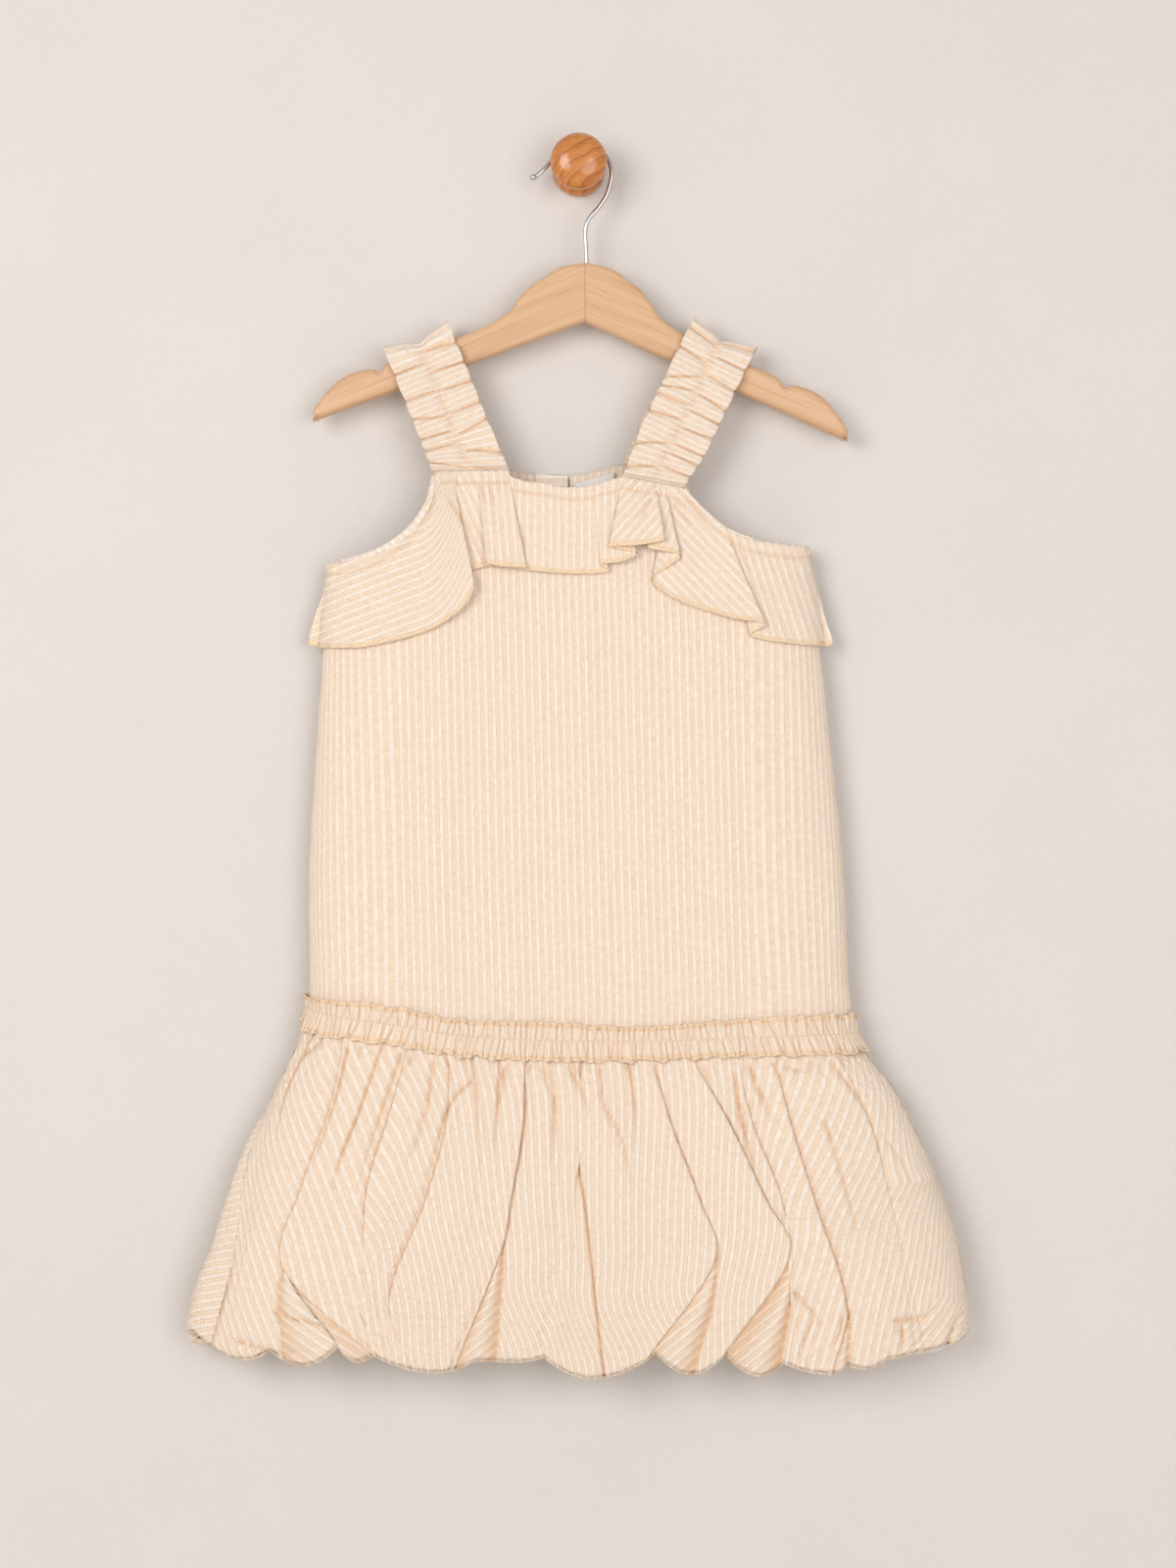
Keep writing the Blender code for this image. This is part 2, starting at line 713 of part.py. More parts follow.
def waist_band(name, collection, material, first_turn):
    """A strip gathered on a middle stitch line, with both edges frilled."""
    columns = BAND_WAVES * 2

    def place(column, row):
        turn = first_turn + column / columns
        along = turn % 2 if turn % 2 <= 1 and first_turn < 1 else 2 - turn
        above, below = read_row(BAND, along)
        share, lift, height = BAND_ROWS[row]
        drop = waist_drop(along) + share * (below if share > 0 else above)
        wave = (-1) ** column * height if 0 < column < columns else 0
        inside = min(max(turn, first_turn + BAND_END), first_turn + 1 - BAND_END)
        return dress_point(inside, drop, lift + wave)

    return cloth_sheet(name, collection, material, columns, len(BAND_ROWS) - 1, place, TRIM)


def fold_edge(fold, share):
    """The x of a skirt fold's edge at a share of the skirt's length."""
    waist, quarter, half, corner_at, corner, hem = fold[:6]
    path = [(0, waist), (0.25, quarter), (0.5, half)]
    path.append((min(corner_at, LAST_CORNER), corner))
    path.append((1, hem))
    return read_row(path, share)[0]


def fold_ribs(fold, share):
    """x and lift of the ribs of one fold: its edge and its tuck, or a single crease."""
    corner_at, overlap, spread, lift, on_top, fade = fold[3], *fold[6:]
    edge = fold_edge(fold, share)
    crest = read_row(CREST_LIFT, share)[0]
    gone = smooth_step((share - fade + 0.12) / 0.24) if fade < 1 else 0
    if on_top == 0:
        low = lift * smooth_step(share / 0.14)
        return [(edge, low + (crest - low) * gone)]
    corner_at = min(corner_at, fade, LAST_CORNER + 0.05)
    cover = read_row([(0, -START_APART), (0.06, -START_APART), (0.28, overlap), (corner_at - 0.12, overlap),
                      (corner_at, 0), (1, -spread)], share)[0]
    height = read_row([(0, 0), (0.06, 0.2), (0.28, lift), (corner_at, lift), (1, 0.5 * lift + 1)], share)[0]
    height += (crest - height) * gone
    tuck_lift = TUCK_LIFT * smooth_step(share / 0.14)
    tuck_lift += (crest - tuck_lift) * gone * 0.6
    ribs = [(edge, height), (edge - on_top * cover, tuck_lift)]
    return ribs if on_top > 0 else ribs[::-1]


def skirt_front_ribs(share):
    """x and lift of every rib of the front skirt, with a soft crest between folds."""
    folds = [fold_ribs(fold, share) for fold in SKIRT_FOLDS]
    seam_lift = SEAM_LIFT * smooth_step(share / SEAM_LIFT_BY)
    left_end = [(read_row(SKIRT_SEAM, share)[0], seam_lift)]
    right_end = [(PAST_RIGHT, seam_lift)]
    groups = [left_end, *folds, right_end]
    crest = read_row(CREST_LIFT, share)[0]
    ribs = list(left_end)
    for group, following in zip(groups, groups[1:]):
        start = group[-1][0]
        end = min(following[0][0], read_row(SECTIONS, SKIRT_TOP + SKIRT_LENGTH * share)[1])
        fullness = min(max(0.55 + (end - start) / 50, 0.6), 1.15)
        ribs.append(((start + end) / 2, crest * fullness))
        ribs += following
    return ribs


def skirt_front(collection, material):
    hems = [x for x, _ in skirt_front_ribs(1)]
    waists = [x for x, _ in skirt_front_ribs(0)]
    rows = []
    for share in FRONT_ROWS:
        ribs = []
        for (x, lift), waist_x, hem_x in zip(skirt_front_ribs(share), waists, hems):
            start = waist_drop(turn_at(waist_x, SKIRT_TOP)) + GAP
            end = read_edge(FRONT_HEM, hem_x)
            drop = start + (end - start) * share
            ribs.append((min(turn_at(x, drop), 1 - SEAM_APART), drop, lift))
        rows.append(ribs)
    return bubble_sheet("skirt_front", collection, material, rows)


def skirt_back(collection, material):
    places = [0.0]
    for share, _ in BACK_FOLDS:
        places += [(places[-1] + share) / 2, share]
    places += [(places[-1] + 1) / 2, 1.0]
    rows = []
    for share in BACK_ROWS:
        seam_x = read_row(SKIRT_SEAM, share)[0]
        crest = BACK_CREST * read_row(CREST_LIFT, share)[0] / CREST_LIFT[3][1]
        seam_lift = SEAM_LIFT * smooth_step(share / SEAM_LIFT_BY)
        ribs = []
        for index, place in enumerate(places):
            start = waist_drop(1 + place) + GAP
            drop = start + (read_row(BACK_HEM, place)[0] - start) * share
            seam_turn = 2 + turn_at(seam_x, drop) - SEAM_APART
            turn = 1 + SEAM_APART + place * (seam_turn - 1 - SEAM_APART)
            low = BACK_FOLDS[index // 2 - 1][1] if index % 2 == 0 and 0 < index < len(places) - 1 else 0
            lift = crest if index % 2 else low * smooth_step(share / 0.14)
            if index in (0, len(places) - 1):
                lift = seam_lift
            ribs.append((turn, drop, lift))
        rows.append(ribs)
    return bubble_sheet("skirt_back", collection, material, rows)


def bubble_sheet(name, collection, material, rows):
    """The skirt's cloth through its ribs, with the hem rolled under."""
    columns = (len(rows[0]) - 1) * SKIRT_SPLITS
    last = len(rows) - 1

    def place(column, row):
        turn, drop, lift = between_ribs(rows[min(row, last)], column, SKIRT_SPLITS)
        if row > last:
            lift += HEM_TURN[row - last - 1][0]
            drop += HEM_TURN[row - last - 1][1]
        return dress_point(turn, drop, lift)

    return cloth_sheet(name, collection, material, columns, last + len(HEM_TURN), place)


def skirt_lining(collection, material):
    def place(column, row):
        turn = 2 * (column % LINING_COLUMNS) / LINING_COLUMNS
        along = turn if turn <= 1 else 2 - turn
        share = LINING_LIFT[row][0]
        start = waist_drop(turn) + 2 * GAP
        drop = start + (read_row(LINING_EDGE, along)[0] - start) * share
        return dress_point(turn, drop, LINING_LIFT[row][1])

    rows = len(LINING_LIFT) - 1
    return cloth_sheet("skirt_lining", collection, material, LINING_COLUMNS, rows, place, TRIM, True)


def tilted(across, down):
    """A point of the hanger, turned about the top of its middle."""
    x = across * math.cos(HANGER_TILT) - down * math.sin(HANGER_TILT)
    drop = across * math.sin(HANGER_TILT) + down * math.cos(HANGER_TILT)
    return (x * MM, -drop * MM)


def wooden_hanger(collection, material):
    right = list(HANGER_EDGE)
    outline = right + [(0, HANGER_LOWER)] + [(-across, down) for across, down in right[:0:-1]]
    curve = bpy.data.curves.new("hanger", "CURVE")
    curve.dimensions = "2D"
    curve.fill_mode = "BOTH"
    curve.extrude = (HANGER_THICKNESS / 2 - HANGER_ROUNDING) * MM
    curve.bevel_depth = HANGER_ROUNDING * MM
    curve.bevel_resolution = 1
    curve.offset = -HANGER_ROUNDING * MM
    spline = curve.splines.new("POLY")
    spline.points.add(len(outline) - 1)
    for point, (across, down) in zip(spline.points, outline):
        x, z = tilted(across, down)
        point.co = (x, z, 0, 1)
    spline.use_cyclic_u = True
    curve.materials.append(material)
    hanger = bpy.data.objects.new("hanger", curve)
    hanger.location = (HANGER_TOP[0] * MM, -HANGER_DEPTH * MM, -HANGER_TOP[1] * MM)
    hanger.rotation_euler = (math.radians(90), 0, 0)
    collection.objects.link(hanger)
    return hanger


def wire_hook(collection, material):
    """The wire's route in the hanger's plane, with a ball where the end curls up."""
    centre_x, centre_z = HOOK_ARC_CENTRE
    arc = [(centre_x + HOOK_ARC_RADIUS * math.cos(math.radians(a)),
            centre_z + HOOK_ARC_RADIUS * math.sin(math.radians(a))) for a in range(-8, 160, 18)]
    route = [*HOOK_STEM, *arc, *HOOK_END]
    splits = 2
    smooth = [between_ribs(route, i, splits) for i in range((len(route) - 1) * splits + 1)]
    curve = bpy.data.curves.new("hanger_hook", "CURVE")
    curve.dimensions = "3D"
    curve.bevel_depth = HOOK_WIRE * MM
    curve.bevel_resolution = 2
    curve.use_fill_caps = True
    spline = curve.splines.new("POLY")
    spline.points.add(len(smooth) - 1)
    ball_from = len(smooth) - 2 * 3 - 1
    for index, (point, (x, z)) in enumerate(zip(spline.points, smooth)):
        point.co = (x * MM, -HANGER_DEPTH * MM, z * MM, 1)
        into_ball = (index - ball_from) / (len(smooth) - 1 - ball_from)
        if into_ball > 0:
            swell = math.sqrt(max(1 - (2 * into_ball - 1) ** 2, 0.09))
            point.radius = max(HOOK_BALL / HOOK_WIRE * swell, 1 if into_ball < 0.5 else 0.3)
    curve.materials.append(material)
    hook = bpy.data.objects.new("hanger_hook", curve)
    collection.objects.link(hook)
    return hook


def turned_knob(collection, material):
    mesh = bpy.data.meshes.new("wall_knob")
    points = [(radius * MM, 0, depth * MM) for radius, depth in KNOB_PROFILE]
    mesh.from_pydata(points, [(i, i + 1) for i in range(len(points) - 1)], [])
    mesh.materials.append(material)
    knob = bpy.data.objects.new("wall_knob", mesh)
    collection.objects.link(knob)
    knob.rotation_euler = (math.radians(90), 0, 0)
    screw = knob.modifiers.new("turned", "SCREW")
    screw.steps = KNOB_STEPS
    screw.render_steps = KNOB_STEPS
    screw.use_merge_vertices = True
    screw.merge_threshold = 0.00001
    screw.use_smooth_shade = True
    return knob


def build():
    clear_scene()
    parts = new_collection("bubble_dress")
    cutters = new_collection("cutters")
    cotton = finish_material("striped cotton", (0.86, 0.70, 0.56), 0.85)
    frill = finish_material("frill cotton", (0.88, 0.73, 0.59), 0.85)
    white = finish_material("white lining cotton", (0.90, 0.88, 0.85), 0.8)
    pearl = finish_material("pearl button", (0.85, 0.80, 0.72), 0.3)
    pale_wood = finish_material("pale varnished wood", (0.72, 0.45, 0.24), 0.4)
    dark_wood = finish_material("honey varnished wood", (0.55, 0.25, 0.08), 0.3)
    chrome = finish_material("chromed wire", (0.75, 0.75, 0.76), 0.15, 1.0)

    turned_knob(parts, dark_wood)
    wooden_hanger(parts, pale_wood)
    wire_hook(parts, chrome)
    bodice_panel("bodice_front", parts, cotton, FRONT_TOP)
    back = bodice_panel("bodice_back", parts, cotton, BACK_TOP, back=True)
    cut_slit(back, cutters)
    slit_edge = SLIT_X - SLIT_WIDTH / 2
    inside_back("back_placket", parts, frill, slit_edge - PLACKET_WIDTH, slit_edge, SLIT_LENGTH)
    inside_back("neck_label", parts, white, LABEL_CENTRE - LABEL_WIDTH / 2,
                LABEL_CENTRE + LABEL_WIDTH / 2, LABEL_HEIGHT, LABEL_BELOW_EDGE)
    back_button(parts, pearl)
    for row in STRAPS:
        strap(*row, parts, frill)
    top_frill(parts, frill)
    waist_band("waist_band_front", parts, frill, 0)
    waist_band("waist_band_back", parts, frill, 1)
    skirt_front(parts, cotton)
    skirt_back(parts, cotton)
    skirt_lining(parts, white)


build()
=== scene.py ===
# %% [markdown]
# # A striped bubble dress on a wooden hanger
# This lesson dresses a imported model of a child's cotton dress. The dress hangs flat from
# a turned wall knob: frill straps over the hanger's arms, a ruffle round the neck, a
# straight body, a gathered band, and a bubble skirt whose hem is turned under.
# Every cloth piece starts as a flat grid, the size of its cut, and is then laid on the
# shape of the hanging dress. The stripes are drawn on the flat cloth, so they bend, lean
# and break at folds by themselves. That is why this way was chosen over colouring the
# finished shape.

# %% The fixed frame
import math

import bpy
import numpy as np
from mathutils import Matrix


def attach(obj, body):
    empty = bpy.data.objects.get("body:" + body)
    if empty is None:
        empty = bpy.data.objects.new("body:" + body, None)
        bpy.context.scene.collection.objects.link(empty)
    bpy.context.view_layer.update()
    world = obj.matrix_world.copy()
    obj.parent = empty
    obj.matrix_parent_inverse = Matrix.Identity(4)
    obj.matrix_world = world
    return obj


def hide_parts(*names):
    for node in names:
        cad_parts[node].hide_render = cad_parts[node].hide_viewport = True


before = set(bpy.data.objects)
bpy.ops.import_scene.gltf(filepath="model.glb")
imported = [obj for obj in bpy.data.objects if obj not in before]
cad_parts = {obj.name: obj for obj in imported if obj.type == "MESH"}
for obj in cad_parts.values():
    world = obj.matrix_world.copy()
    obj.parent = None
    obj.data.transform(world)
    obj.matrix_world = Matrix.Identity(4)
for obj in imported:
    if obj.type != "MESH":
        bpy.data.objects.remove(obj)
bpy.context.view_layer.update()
bpy.ops.object.select_all(action="DESELECT")
MM = 0.001

# %% [markdown]
# ## The shape of the hanging dress
# A dress on a hanger is a flat tube. One short table gives its left and right edge and
# the depth of its front, back and side seams at a few heights, and smooth curves run
# through the rows. Any point on the dress is then named by how far round it is
# ("turn", 0 to 1 across the front from left to right, 1 to 2 across the back), how far
# down ("drop") and how far it stands off that plain shape ("lift"). All are in
# millimetres, with the wall at Y = 0 and everything in front of it.

# %% Table of the body
SECTIONS = (
    # drop, left, right, front, back, side, rounding
    (150, -149, 137, 26.5, 5.6, 13.0, 45),
    (235, -149, 137, 27.0, 5.4, 13.0, 45),
    (290, -154, 145, 28.5, 5.2, 13.0, 48),
    (373, -160, 154.5, 30.5, 5.2, 13.5, 52),
    (432, -163, 160, 31.5, 5.4, 14.0, 55),
    (505, -163, 164, 33.0, 6.0, 15.0, 60),
    (535, -171, 172, 35.0, 7.0, 16.0, 68),
    (560, -183, 190, 38.5, 8.2, 17.5, 80),
    (600, -201, 209, 43.0, 9.0, 19.5, 92),
    (643, -217, 225, 46.5, 9.4, 21.0, 100),
    (687, -233, 233, 48.0, 9.6, 22.0, 105),
    (730, -236, 234, 48.0, 9.6, 22.0, 105),
)
WAIST = (
    # turn, drop
    (0.0, 507.0),
    (0.18, 516.6),
    (0.29, 523.2),
    (0.5, 527.0),
    (0.71, 526.0),
    (0.88, 523.7),
    (1.0, 522.5),
)


def along_rows(table, at):
    """The other columns of a table beside `at`, on smooth curves through its rows."""
    rows = np.array(table, float)
    keys, values = rows[:, 0], rows[:, 1:]
    at = np.clip(np.asarray(at, float), keys[0], keys[-1])
    low = np.clip(np.searchsorted(keys, at, side="right") - 1, 0, len(keys) - 2)
    before = np.maximum(low - 1, 0)
    after = np.minimum(low + 2, len(keys) - 1)
    span = (keys[low + 1] - keys[low])[..., None]
    share = (at - keys[low])[..., None] / span
    leave = (values[low + 1] - values[before]) / (keys[low + 1] - keys[before])[..., None] * span
    arrive = (values[after] - values[low]) / (keys[after] - keys[low])[..., None] * span
    rise = values[low + 1] - values[low]
    bend = share * (1 - share) * ((leave - rise) * (1 - share) + (rise - arrive) * share)
    return np.moveaxis(values[low] + rise * share + bend, -1, 0)


def smooth_step(value):
    share = np.clip(value, 0, 1)
    return share * share * (3 - 2 * share)


# %% A point on the dress
SEAM = 0.3                   # between front and back where they are sewn


def panel_widths(front_side, drop):
    """Half the flat part of a panel, and the length of its curve to the side seam."""
    left, right, front, back, side, rounding = along_rows(SECTIONS, drop)
    depth = np.where(front_side, front - side, side - back)
    flat = (right - left) / 2 - rounding
    bend = math.pi / 2 * np.sqrt((depth ** 2 + rounding ** 2) / 2)
    return flat, bend, depth


def dress_points(turn, drop, lift):
    """Points on the dress, in metres."""
    turn, drop, lift = np.broadcast_arrays(np.mod(turn, 2), drop, lift)
    left, right, _, _, side, rounding = along_rows(SECTIONS, drop)
    at_front = turn <= 1
    along = np.where(at_front, turn, 2 - turn)
    face = np.where(at_front, 1.0, -1.0)
    flat, bend, depth = panel_widths(at_front, drop)
    reach = np.abs(along - 0.5) * 2 * (flat + bend)
    angle = np.maximum(reach - flat, 0) / bend * math.pi / 2
    hand = np.where(along > 0.5, 1.0, -1.0)
    normal = np.stack([hand * depth * np.sin(angle), -face * rounding * np.cos(angle)])
    normal = normal / np.sqrt((normal ** 2).sum(0))
    x = (left + right) / 2 + hand * (np.minimum(reach, flat) + rounding * np.sin(angle))
    y = -side - face * (depth * np.cos(angle) + SEAM)
    return np.stack([x + normal[0] * lift, y + normal[1] * lift, -drop], axis=-1) * MM


def turn_at(x, drop):
    """The turn of the front's point at x."""
    left, right, _, _, _, rounding = along_rows(SECTIONS, drop)
    flat, bend, _ = panel_widths(True, drop)
    offset = x - (left + right) / 2
    beyond = np.clip((np.abs(offset) - flat) / rounding, 0, 1)
    reach = np.minimum(np.abs(offset), flat) + bend * np.arcsin(beyond) / (math.pi / 2)
    return 0.5 + np.sign(offset) * reach / (2 * (flat + bend))


def waist_drop(turn):
    along = np.mod(turn, 2)
    return along_rows(WAIST, np.where(along <= 1, along, 2 - along))[0]


def across_cloth(turn, drop):
    """Distance over the cloth from the middle of the front or of the back."""
    along = np.mod(turn, 2)
    at_front = along <= 1
    flat, bend, _ = panel_widths(at_front, drop)
    return (along - np.where(at_front, 0.5, 1.5)) * 2 * (flat + bend)


chest = 2 * sum(float(width) for width in panel_widths(True, 300.0)[:2])
print("front panel across the chest, mm:", round(chest, 1))

# %% [markdown]
# ## Cutting and laying cloth
# Cloth is cut flat and then draped, and so is each piece here. A grid is added with as
# many squares as the piece needs. Its UV map "cloth" keeps where each corner lies on
# the flat cut, in metres, "edge" keeps how far it is along and in from a finished
# edge, and a third map how much painted shade darkens it deep in a crease or under a
# fold edge. Then the corners move to where the
# cloth hangs, and a Solidify modifier gives the thickness of cotton. Simulation was
# left out: the photo shows particular folds, and those are placed more surely one by one.

# %% Flat grid, draped, with a wall
CLOTH_WALL = 0.0007
THIN_WALL = 0.0006           # of the lining, the band and the strips inside


def select_only(piece):
    bpy.ops.object.select_all(action="DESELECT")
    piece.select_set(True)
    bpy.context.view_layer.objects.active = piece


def lay_cloth(name, columns, rows, place, cloth, edge=None, crease=None, wall=CLOTH_WALL):
    """A piece of cloth. place, cloth, edge and the map of painted crease shade take the shares across and
    down.
    Where the pattern breaks at a fold, cloth gives the four corners of each face."""
    bpy.ops.object.select_all(action="DESELECT")
    bpy.ops.mesh.primitive_grid_add(x_subdivisions=columns, y_subdivisions=rows, size=1, calc_uvs=False)
    piece = bpy.context.active_object
    piece.name = name
    mesh = piece.data
    mesh.name = name
    corner = np.empty(len(mesh.vertices) * 3)
    mesh.vertices.foreach_get("co", corner)
    corner = corner.reshape(-1, 3)
    column = np.rint((corner[:, 0] + 0.5) * columns).astype(int)
    row = np.rint((0.5 - corner[:, 1]) * rows).astype(int)
    grid_across, grid_down = np.meshgrid(np.linspace(0, 1, columns + 1), np.linspace(0, 1, rows + 1))
    points = place(grid_across, grid_down)
    loops = np.empty(len(mesh.loops), int)
    mesh.loops.foreach_get("vertex_index", loops)
    for layer, flat in (("cloth", cloth), ("edge", edge), ("crease", crease)):
        if flat is None:
            continue
        spread = flat(grid_across, grid_down, points)
        if spread.ndim == 3:
            spread = spread[row, column][loops]
        else:
            at_row, at_column = row[loops].reshape(-1, 4), column[loops].reshape(-1, 4)
            first_row, first_column = at_row.min(1)[:, None], at_column.min(1)[:, None]
            spread = spread[first_row, first_column, at_row - first_row, at_column - first_column]
        uv = mesh.uv_layers.new(name=layer)
        uv.data.foreach_set("uv", spread.astype(np.float32).ravel())
    mesh.vertices.foreach_set("co", points[row, column].ravel())
    mesh.update()
    bpy.ops.object.shade_smooth()
    if wall:
        thicken(piece, wall)
    print(name, "triangles", sum(len(p.vertices) - 2 for p in piece.data.polygons))
    return piece, points


def face_corners(values):
    """The values of a grid's points as (row, column, lower, right) of each of its faces."""
    upper = np.stack([values[:-1, :-1], values[:-1, 1:]], axis=-1)
    lower = np.stack([values[1:, :-1], values[1:, 1:]], axis=-1)
    return np.stack([upper, lower], axis=-2)


def thicken(piece, wall):
    solidify = piece.modifiers.new("wall", "SOLIDIFY")
    solidify.thickness = wall
    solidify.offset = 0
    bpy.context.view_layer.objects.active = piece
    bpy.ops.object.modifier_apply(modifier="wall")


def cut_with(piece, cutter):
    """Cuts a helper solid out of a piece, and removes the helper."""
    cut = piece.modifiers.new("cut", "BOOLEAN")
    cut.operation = "DIFFERENCE"
    cut.object = cutter
    bpy.context.view_layer.objects.active = piece
    bpy.ops.object.modifier_apply(modifier="cut")
    bpy.data.objects.remove(cutter, do_unlink=True)


def stand_up(piece, place=(0, 0, 0)):
    """Turns a piece that was drawn lying down to face the room, in its mesh."""
    select_only(piece)
    piece.location = place
    piece.rotation_euler = (math.radians(90), 0, 0)
    bpy.ops.object.transform_apply(location=True, rotation=True, scale=True)


def run_length(points, axis):
    """How far each point of a draped grid is along its row or its column."""
    steps = np.linalg.norm(np.diff(points, axis=axis), axis=-1)
    start = np.zeros_like(np.take(steps, [0], axis=axis))
    return np.cumsum(np.concatenate([start, steps], axis=axis), axis=axis)


def finish_piece(piece, node, material):
    """The piece takes its node's place, its finish and its body."""
    piece.data.materials.clear()
    piece.data.materials.append(material)
    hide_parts(node)
    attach(piece, "root")

# %% [markdown]
# ## Curves through gathers
# A frill or a gathered skirt is drawn as "ribs", lines that run down the cloth along
# each ridge, fold edge and tuck. Between two ribs the cloth follows a smooth curve.
# Where the ribs turn back, as at the edge of a fold, the curve may not swing past
# them, or the fold would bulge, so its slope is held to nought there.

# %% Curve through ribs with flat turning points
def through_ribs(ribs, splits):
    """Values between ribs (the last but one axis), with `splits` steps to each rib, or
    as many as a list says."""
    each = [splits] * (ribs.shape[-2] - 1) if isinstance(splits, int) else splits
    steps = np.diff(ribs, axis=-2)
    before = np.concatenate([steps[..., :1, :], steps], axis=-2)
    after = np.concatenate([steps, steps[..., -1:, :]], axis=-2)
    same_way = before * after > 0
    total = before + after
    slope = np.where(same_way, 2 * before * after / np.where(total == 0, 1, total), 0)
    parts = []
    for low, count in enumerate(each):
        share = (np.arange(count) / count)[:, None]
        start = ribs[..., low:low + 1, :]
        rise = steps[..., low:low + 1, :]
        leave = slope[..., low:low + 1, :]
        arrive = slope[..., low + 1:low + 2, :]
        bend = share * (1 - share) * ((leave - rise) * (1 - share) + (rise - arrive) * share)
        parts.append(start + rise * share + bend)
    parts.append(ribs[..., -1:, :])
    return np.concatenate(parts, axis=-2)


def crease_lines(x, drop, lines):
    """Lift of creases, and the painted shade in them, from rows of depth, width, start, then their points.
    A crease fades towards its last point; start 1 keeps its beginning deep."""
    lift, shade_amount = np.zeros_like(x), np.zeros_like(x)
    for depth, width, start, *spots in lines:
        spots = np.array(spots, float)
        at = np.arange(len(spots), dtype=float)
        fine = np.linspace(0, at[-1], 5 * (len(spots) - 1) + 1)
        route = np.stack(along_rows(np.column_stack([at, spots]), fine), axis=1)
        reach = 7 * width
        near = ((x > route[:, 0].min() - reach) & (x < route[:, 0].max() + reach)
                & (drop > route[:, 1].min() - reach) & (drop < route[:, 1].max() + reach))
        if not near.any():
            continue
        px, pd = x[near], drop[near]
        best, along = np.full(px.shape, 1e3), np.zeros(px.shape)
        for number, (a, b) in enumerate(zip(route, route[1:])):
            step = b - a
            share = np.clip(((px - a[0]) * step[0] + (pd - a[1]) * step[1]) / (step @ step), 0, 1)
            away = np.hypot(px - a[0] - share * step[0], pd - a[1] - share * step[1])
            closer = away < best
            best = np.where(closer, away, best)
            along = np.where(closer, (number + share) / (len(route) - 1), along)
        fade = smooth_step((1 - along) / 0.65) * (start + (1 - start) * smooth_step(along / 0.25))
        valley = np.exp(-(best / width) ** 2)
        shoulder = np.exp(-((best - 2.8 * width) / (1.6 * width)) ** 2)
        lift[near] += depth * fade * (0.45 * shoulder - valley)
        shadow = fade * np.exp(-(best / (0.75 * width)) ** 2) * min(depth / 1.6, 1)
        shade_amount[near] = np.maximum(shade_amount[near], shadow)
    return lift, shade_amount


def soft_noise(across, down, size, seed):
    """Gentle unevenness from -1 to 1, the same each time."""
    chance = np.random.default_rng(seed)
    total = 0
    for _ in range(5):
        angle, phase = chance.uniform(0, 2 * math.pi, 2)
        wave = 2 * math.pi / (size * chance.uniform(0.7, 1.5))
        total = total + np.sin((across * math.cos(angle) + down * math.sin(angle)) * wave + phase)
    return total / 3

# %% [markdown]
# ## Striped puckered cotton
# Seersucker is woven with slack and tight stripes in turn, so the slack ones pucker
# into short cross wrinkles. Here one stripe is cream and one apricot, 4.7 mm for the
# pair. A shader group draws both from the flat cloth's own map: a triangle wave makes
# the stripes, and a noise that jumps from stripe to stripe makes the puckers, which a
# Bump node turns into relief. A group is used because every striped piece shares it.

# %% Small helpers for nodes
def new_group(name, inputs, outputs):
    group = bpy.data.node_groups.new(name, "ShaderNodeTree")
    for label, kind, value in inputs:
        socket = group.interface.new_socket(label, in_out="INPUT", socket_type=kind)
        if value is not None:
            socket.default_value = value
    for label, kind in outputs:
        group.interface.new_socket(label, in_out="OUTPUT", socket_type=kind)
    return group, group.nodes.new("NodeGroupInput"), group.nodes.new("NodeGroupOutput")


def new_material(name, roughness):
    material = bpy.data.materials.new(name)
    material.use_nodes = True
    tree = material.node_tree
    shader = tree.nodes["Principled BSDF"]
    shader.inputs["Roughness"].default_value = roughness
    return material, tree, shader


def place_on_piece(tree):
    return tree.nodes.new("ShaderNodeTexCoord").outputs["Object"]


def uv_map(tree, name):
    node = tree.nodes.new("ShaderNodeUVMap")
    node.uv_map = name
    return node.outputs["UV"]


def add_relief(tree, shader, height, distance, strength=1.0):
    bump = tree.nodes.new("ShaderNodeBump")
    bump.inputs["Distance"].default_value = distance
    bump.inputs["Strength"].default_value = strength
    tree.links.new(height, bump.inputs["Height"])
    tree.links.new(bump.outputs["Normal"], shader.inputs["Normal"])


def math_node(tree, operation, first, second=None):
    node = tree.nodes.new("ShaderNodeMath")
    node.operation = operation
    for socket, value in zip(node.inputs, (first, second)):
        if isinstance(value, bpy.types.NodeSocket):
            tree.links.new(value, socket)
        elif value is not None:
            socket.default_value = value
    return node.outputs[0]


def times(tree, value, factor):
    return math_node(tree, "MULTIPLY", value, factor)


def plus(tree, first, second):
    return math_node(tree, "ADD", first, second)


def remap(tree, value, low, high, to_low=0.0, to_high=1.0, smooth=True):
    node = tree.nodes.new("ShaderNodeMapRange")
    node.interpolation_type = "SMOOTHSTEP" if smooth else "LINEAR"
    tree.links.new(value, node.inputs["Value"])
    for label, number in (("From Min", low), ("From Max", high), ("To Min", to_low), ("To Max", to_high)):
        node.inputs[label].default_value = number
    return node.outputs["Result"]


def mix_colour(tree, share, first, second, blend="MIX"):
    node = tree.nodes.new("ShaderNodeMix")
    node.data_type = "RGBA"
    node.blend_type = blend
    slots = [socket for socket in node.inputs if socket.enabled]
    for socket, value in zip(slots, (share, first, second)):
        if isinstance(value, bpy.types.NodeSocket):
            tree.links.new(value, socket)
        else:
            socket.default_value = value
    return [socket for socket in node.outputs if socket.enabled][0]


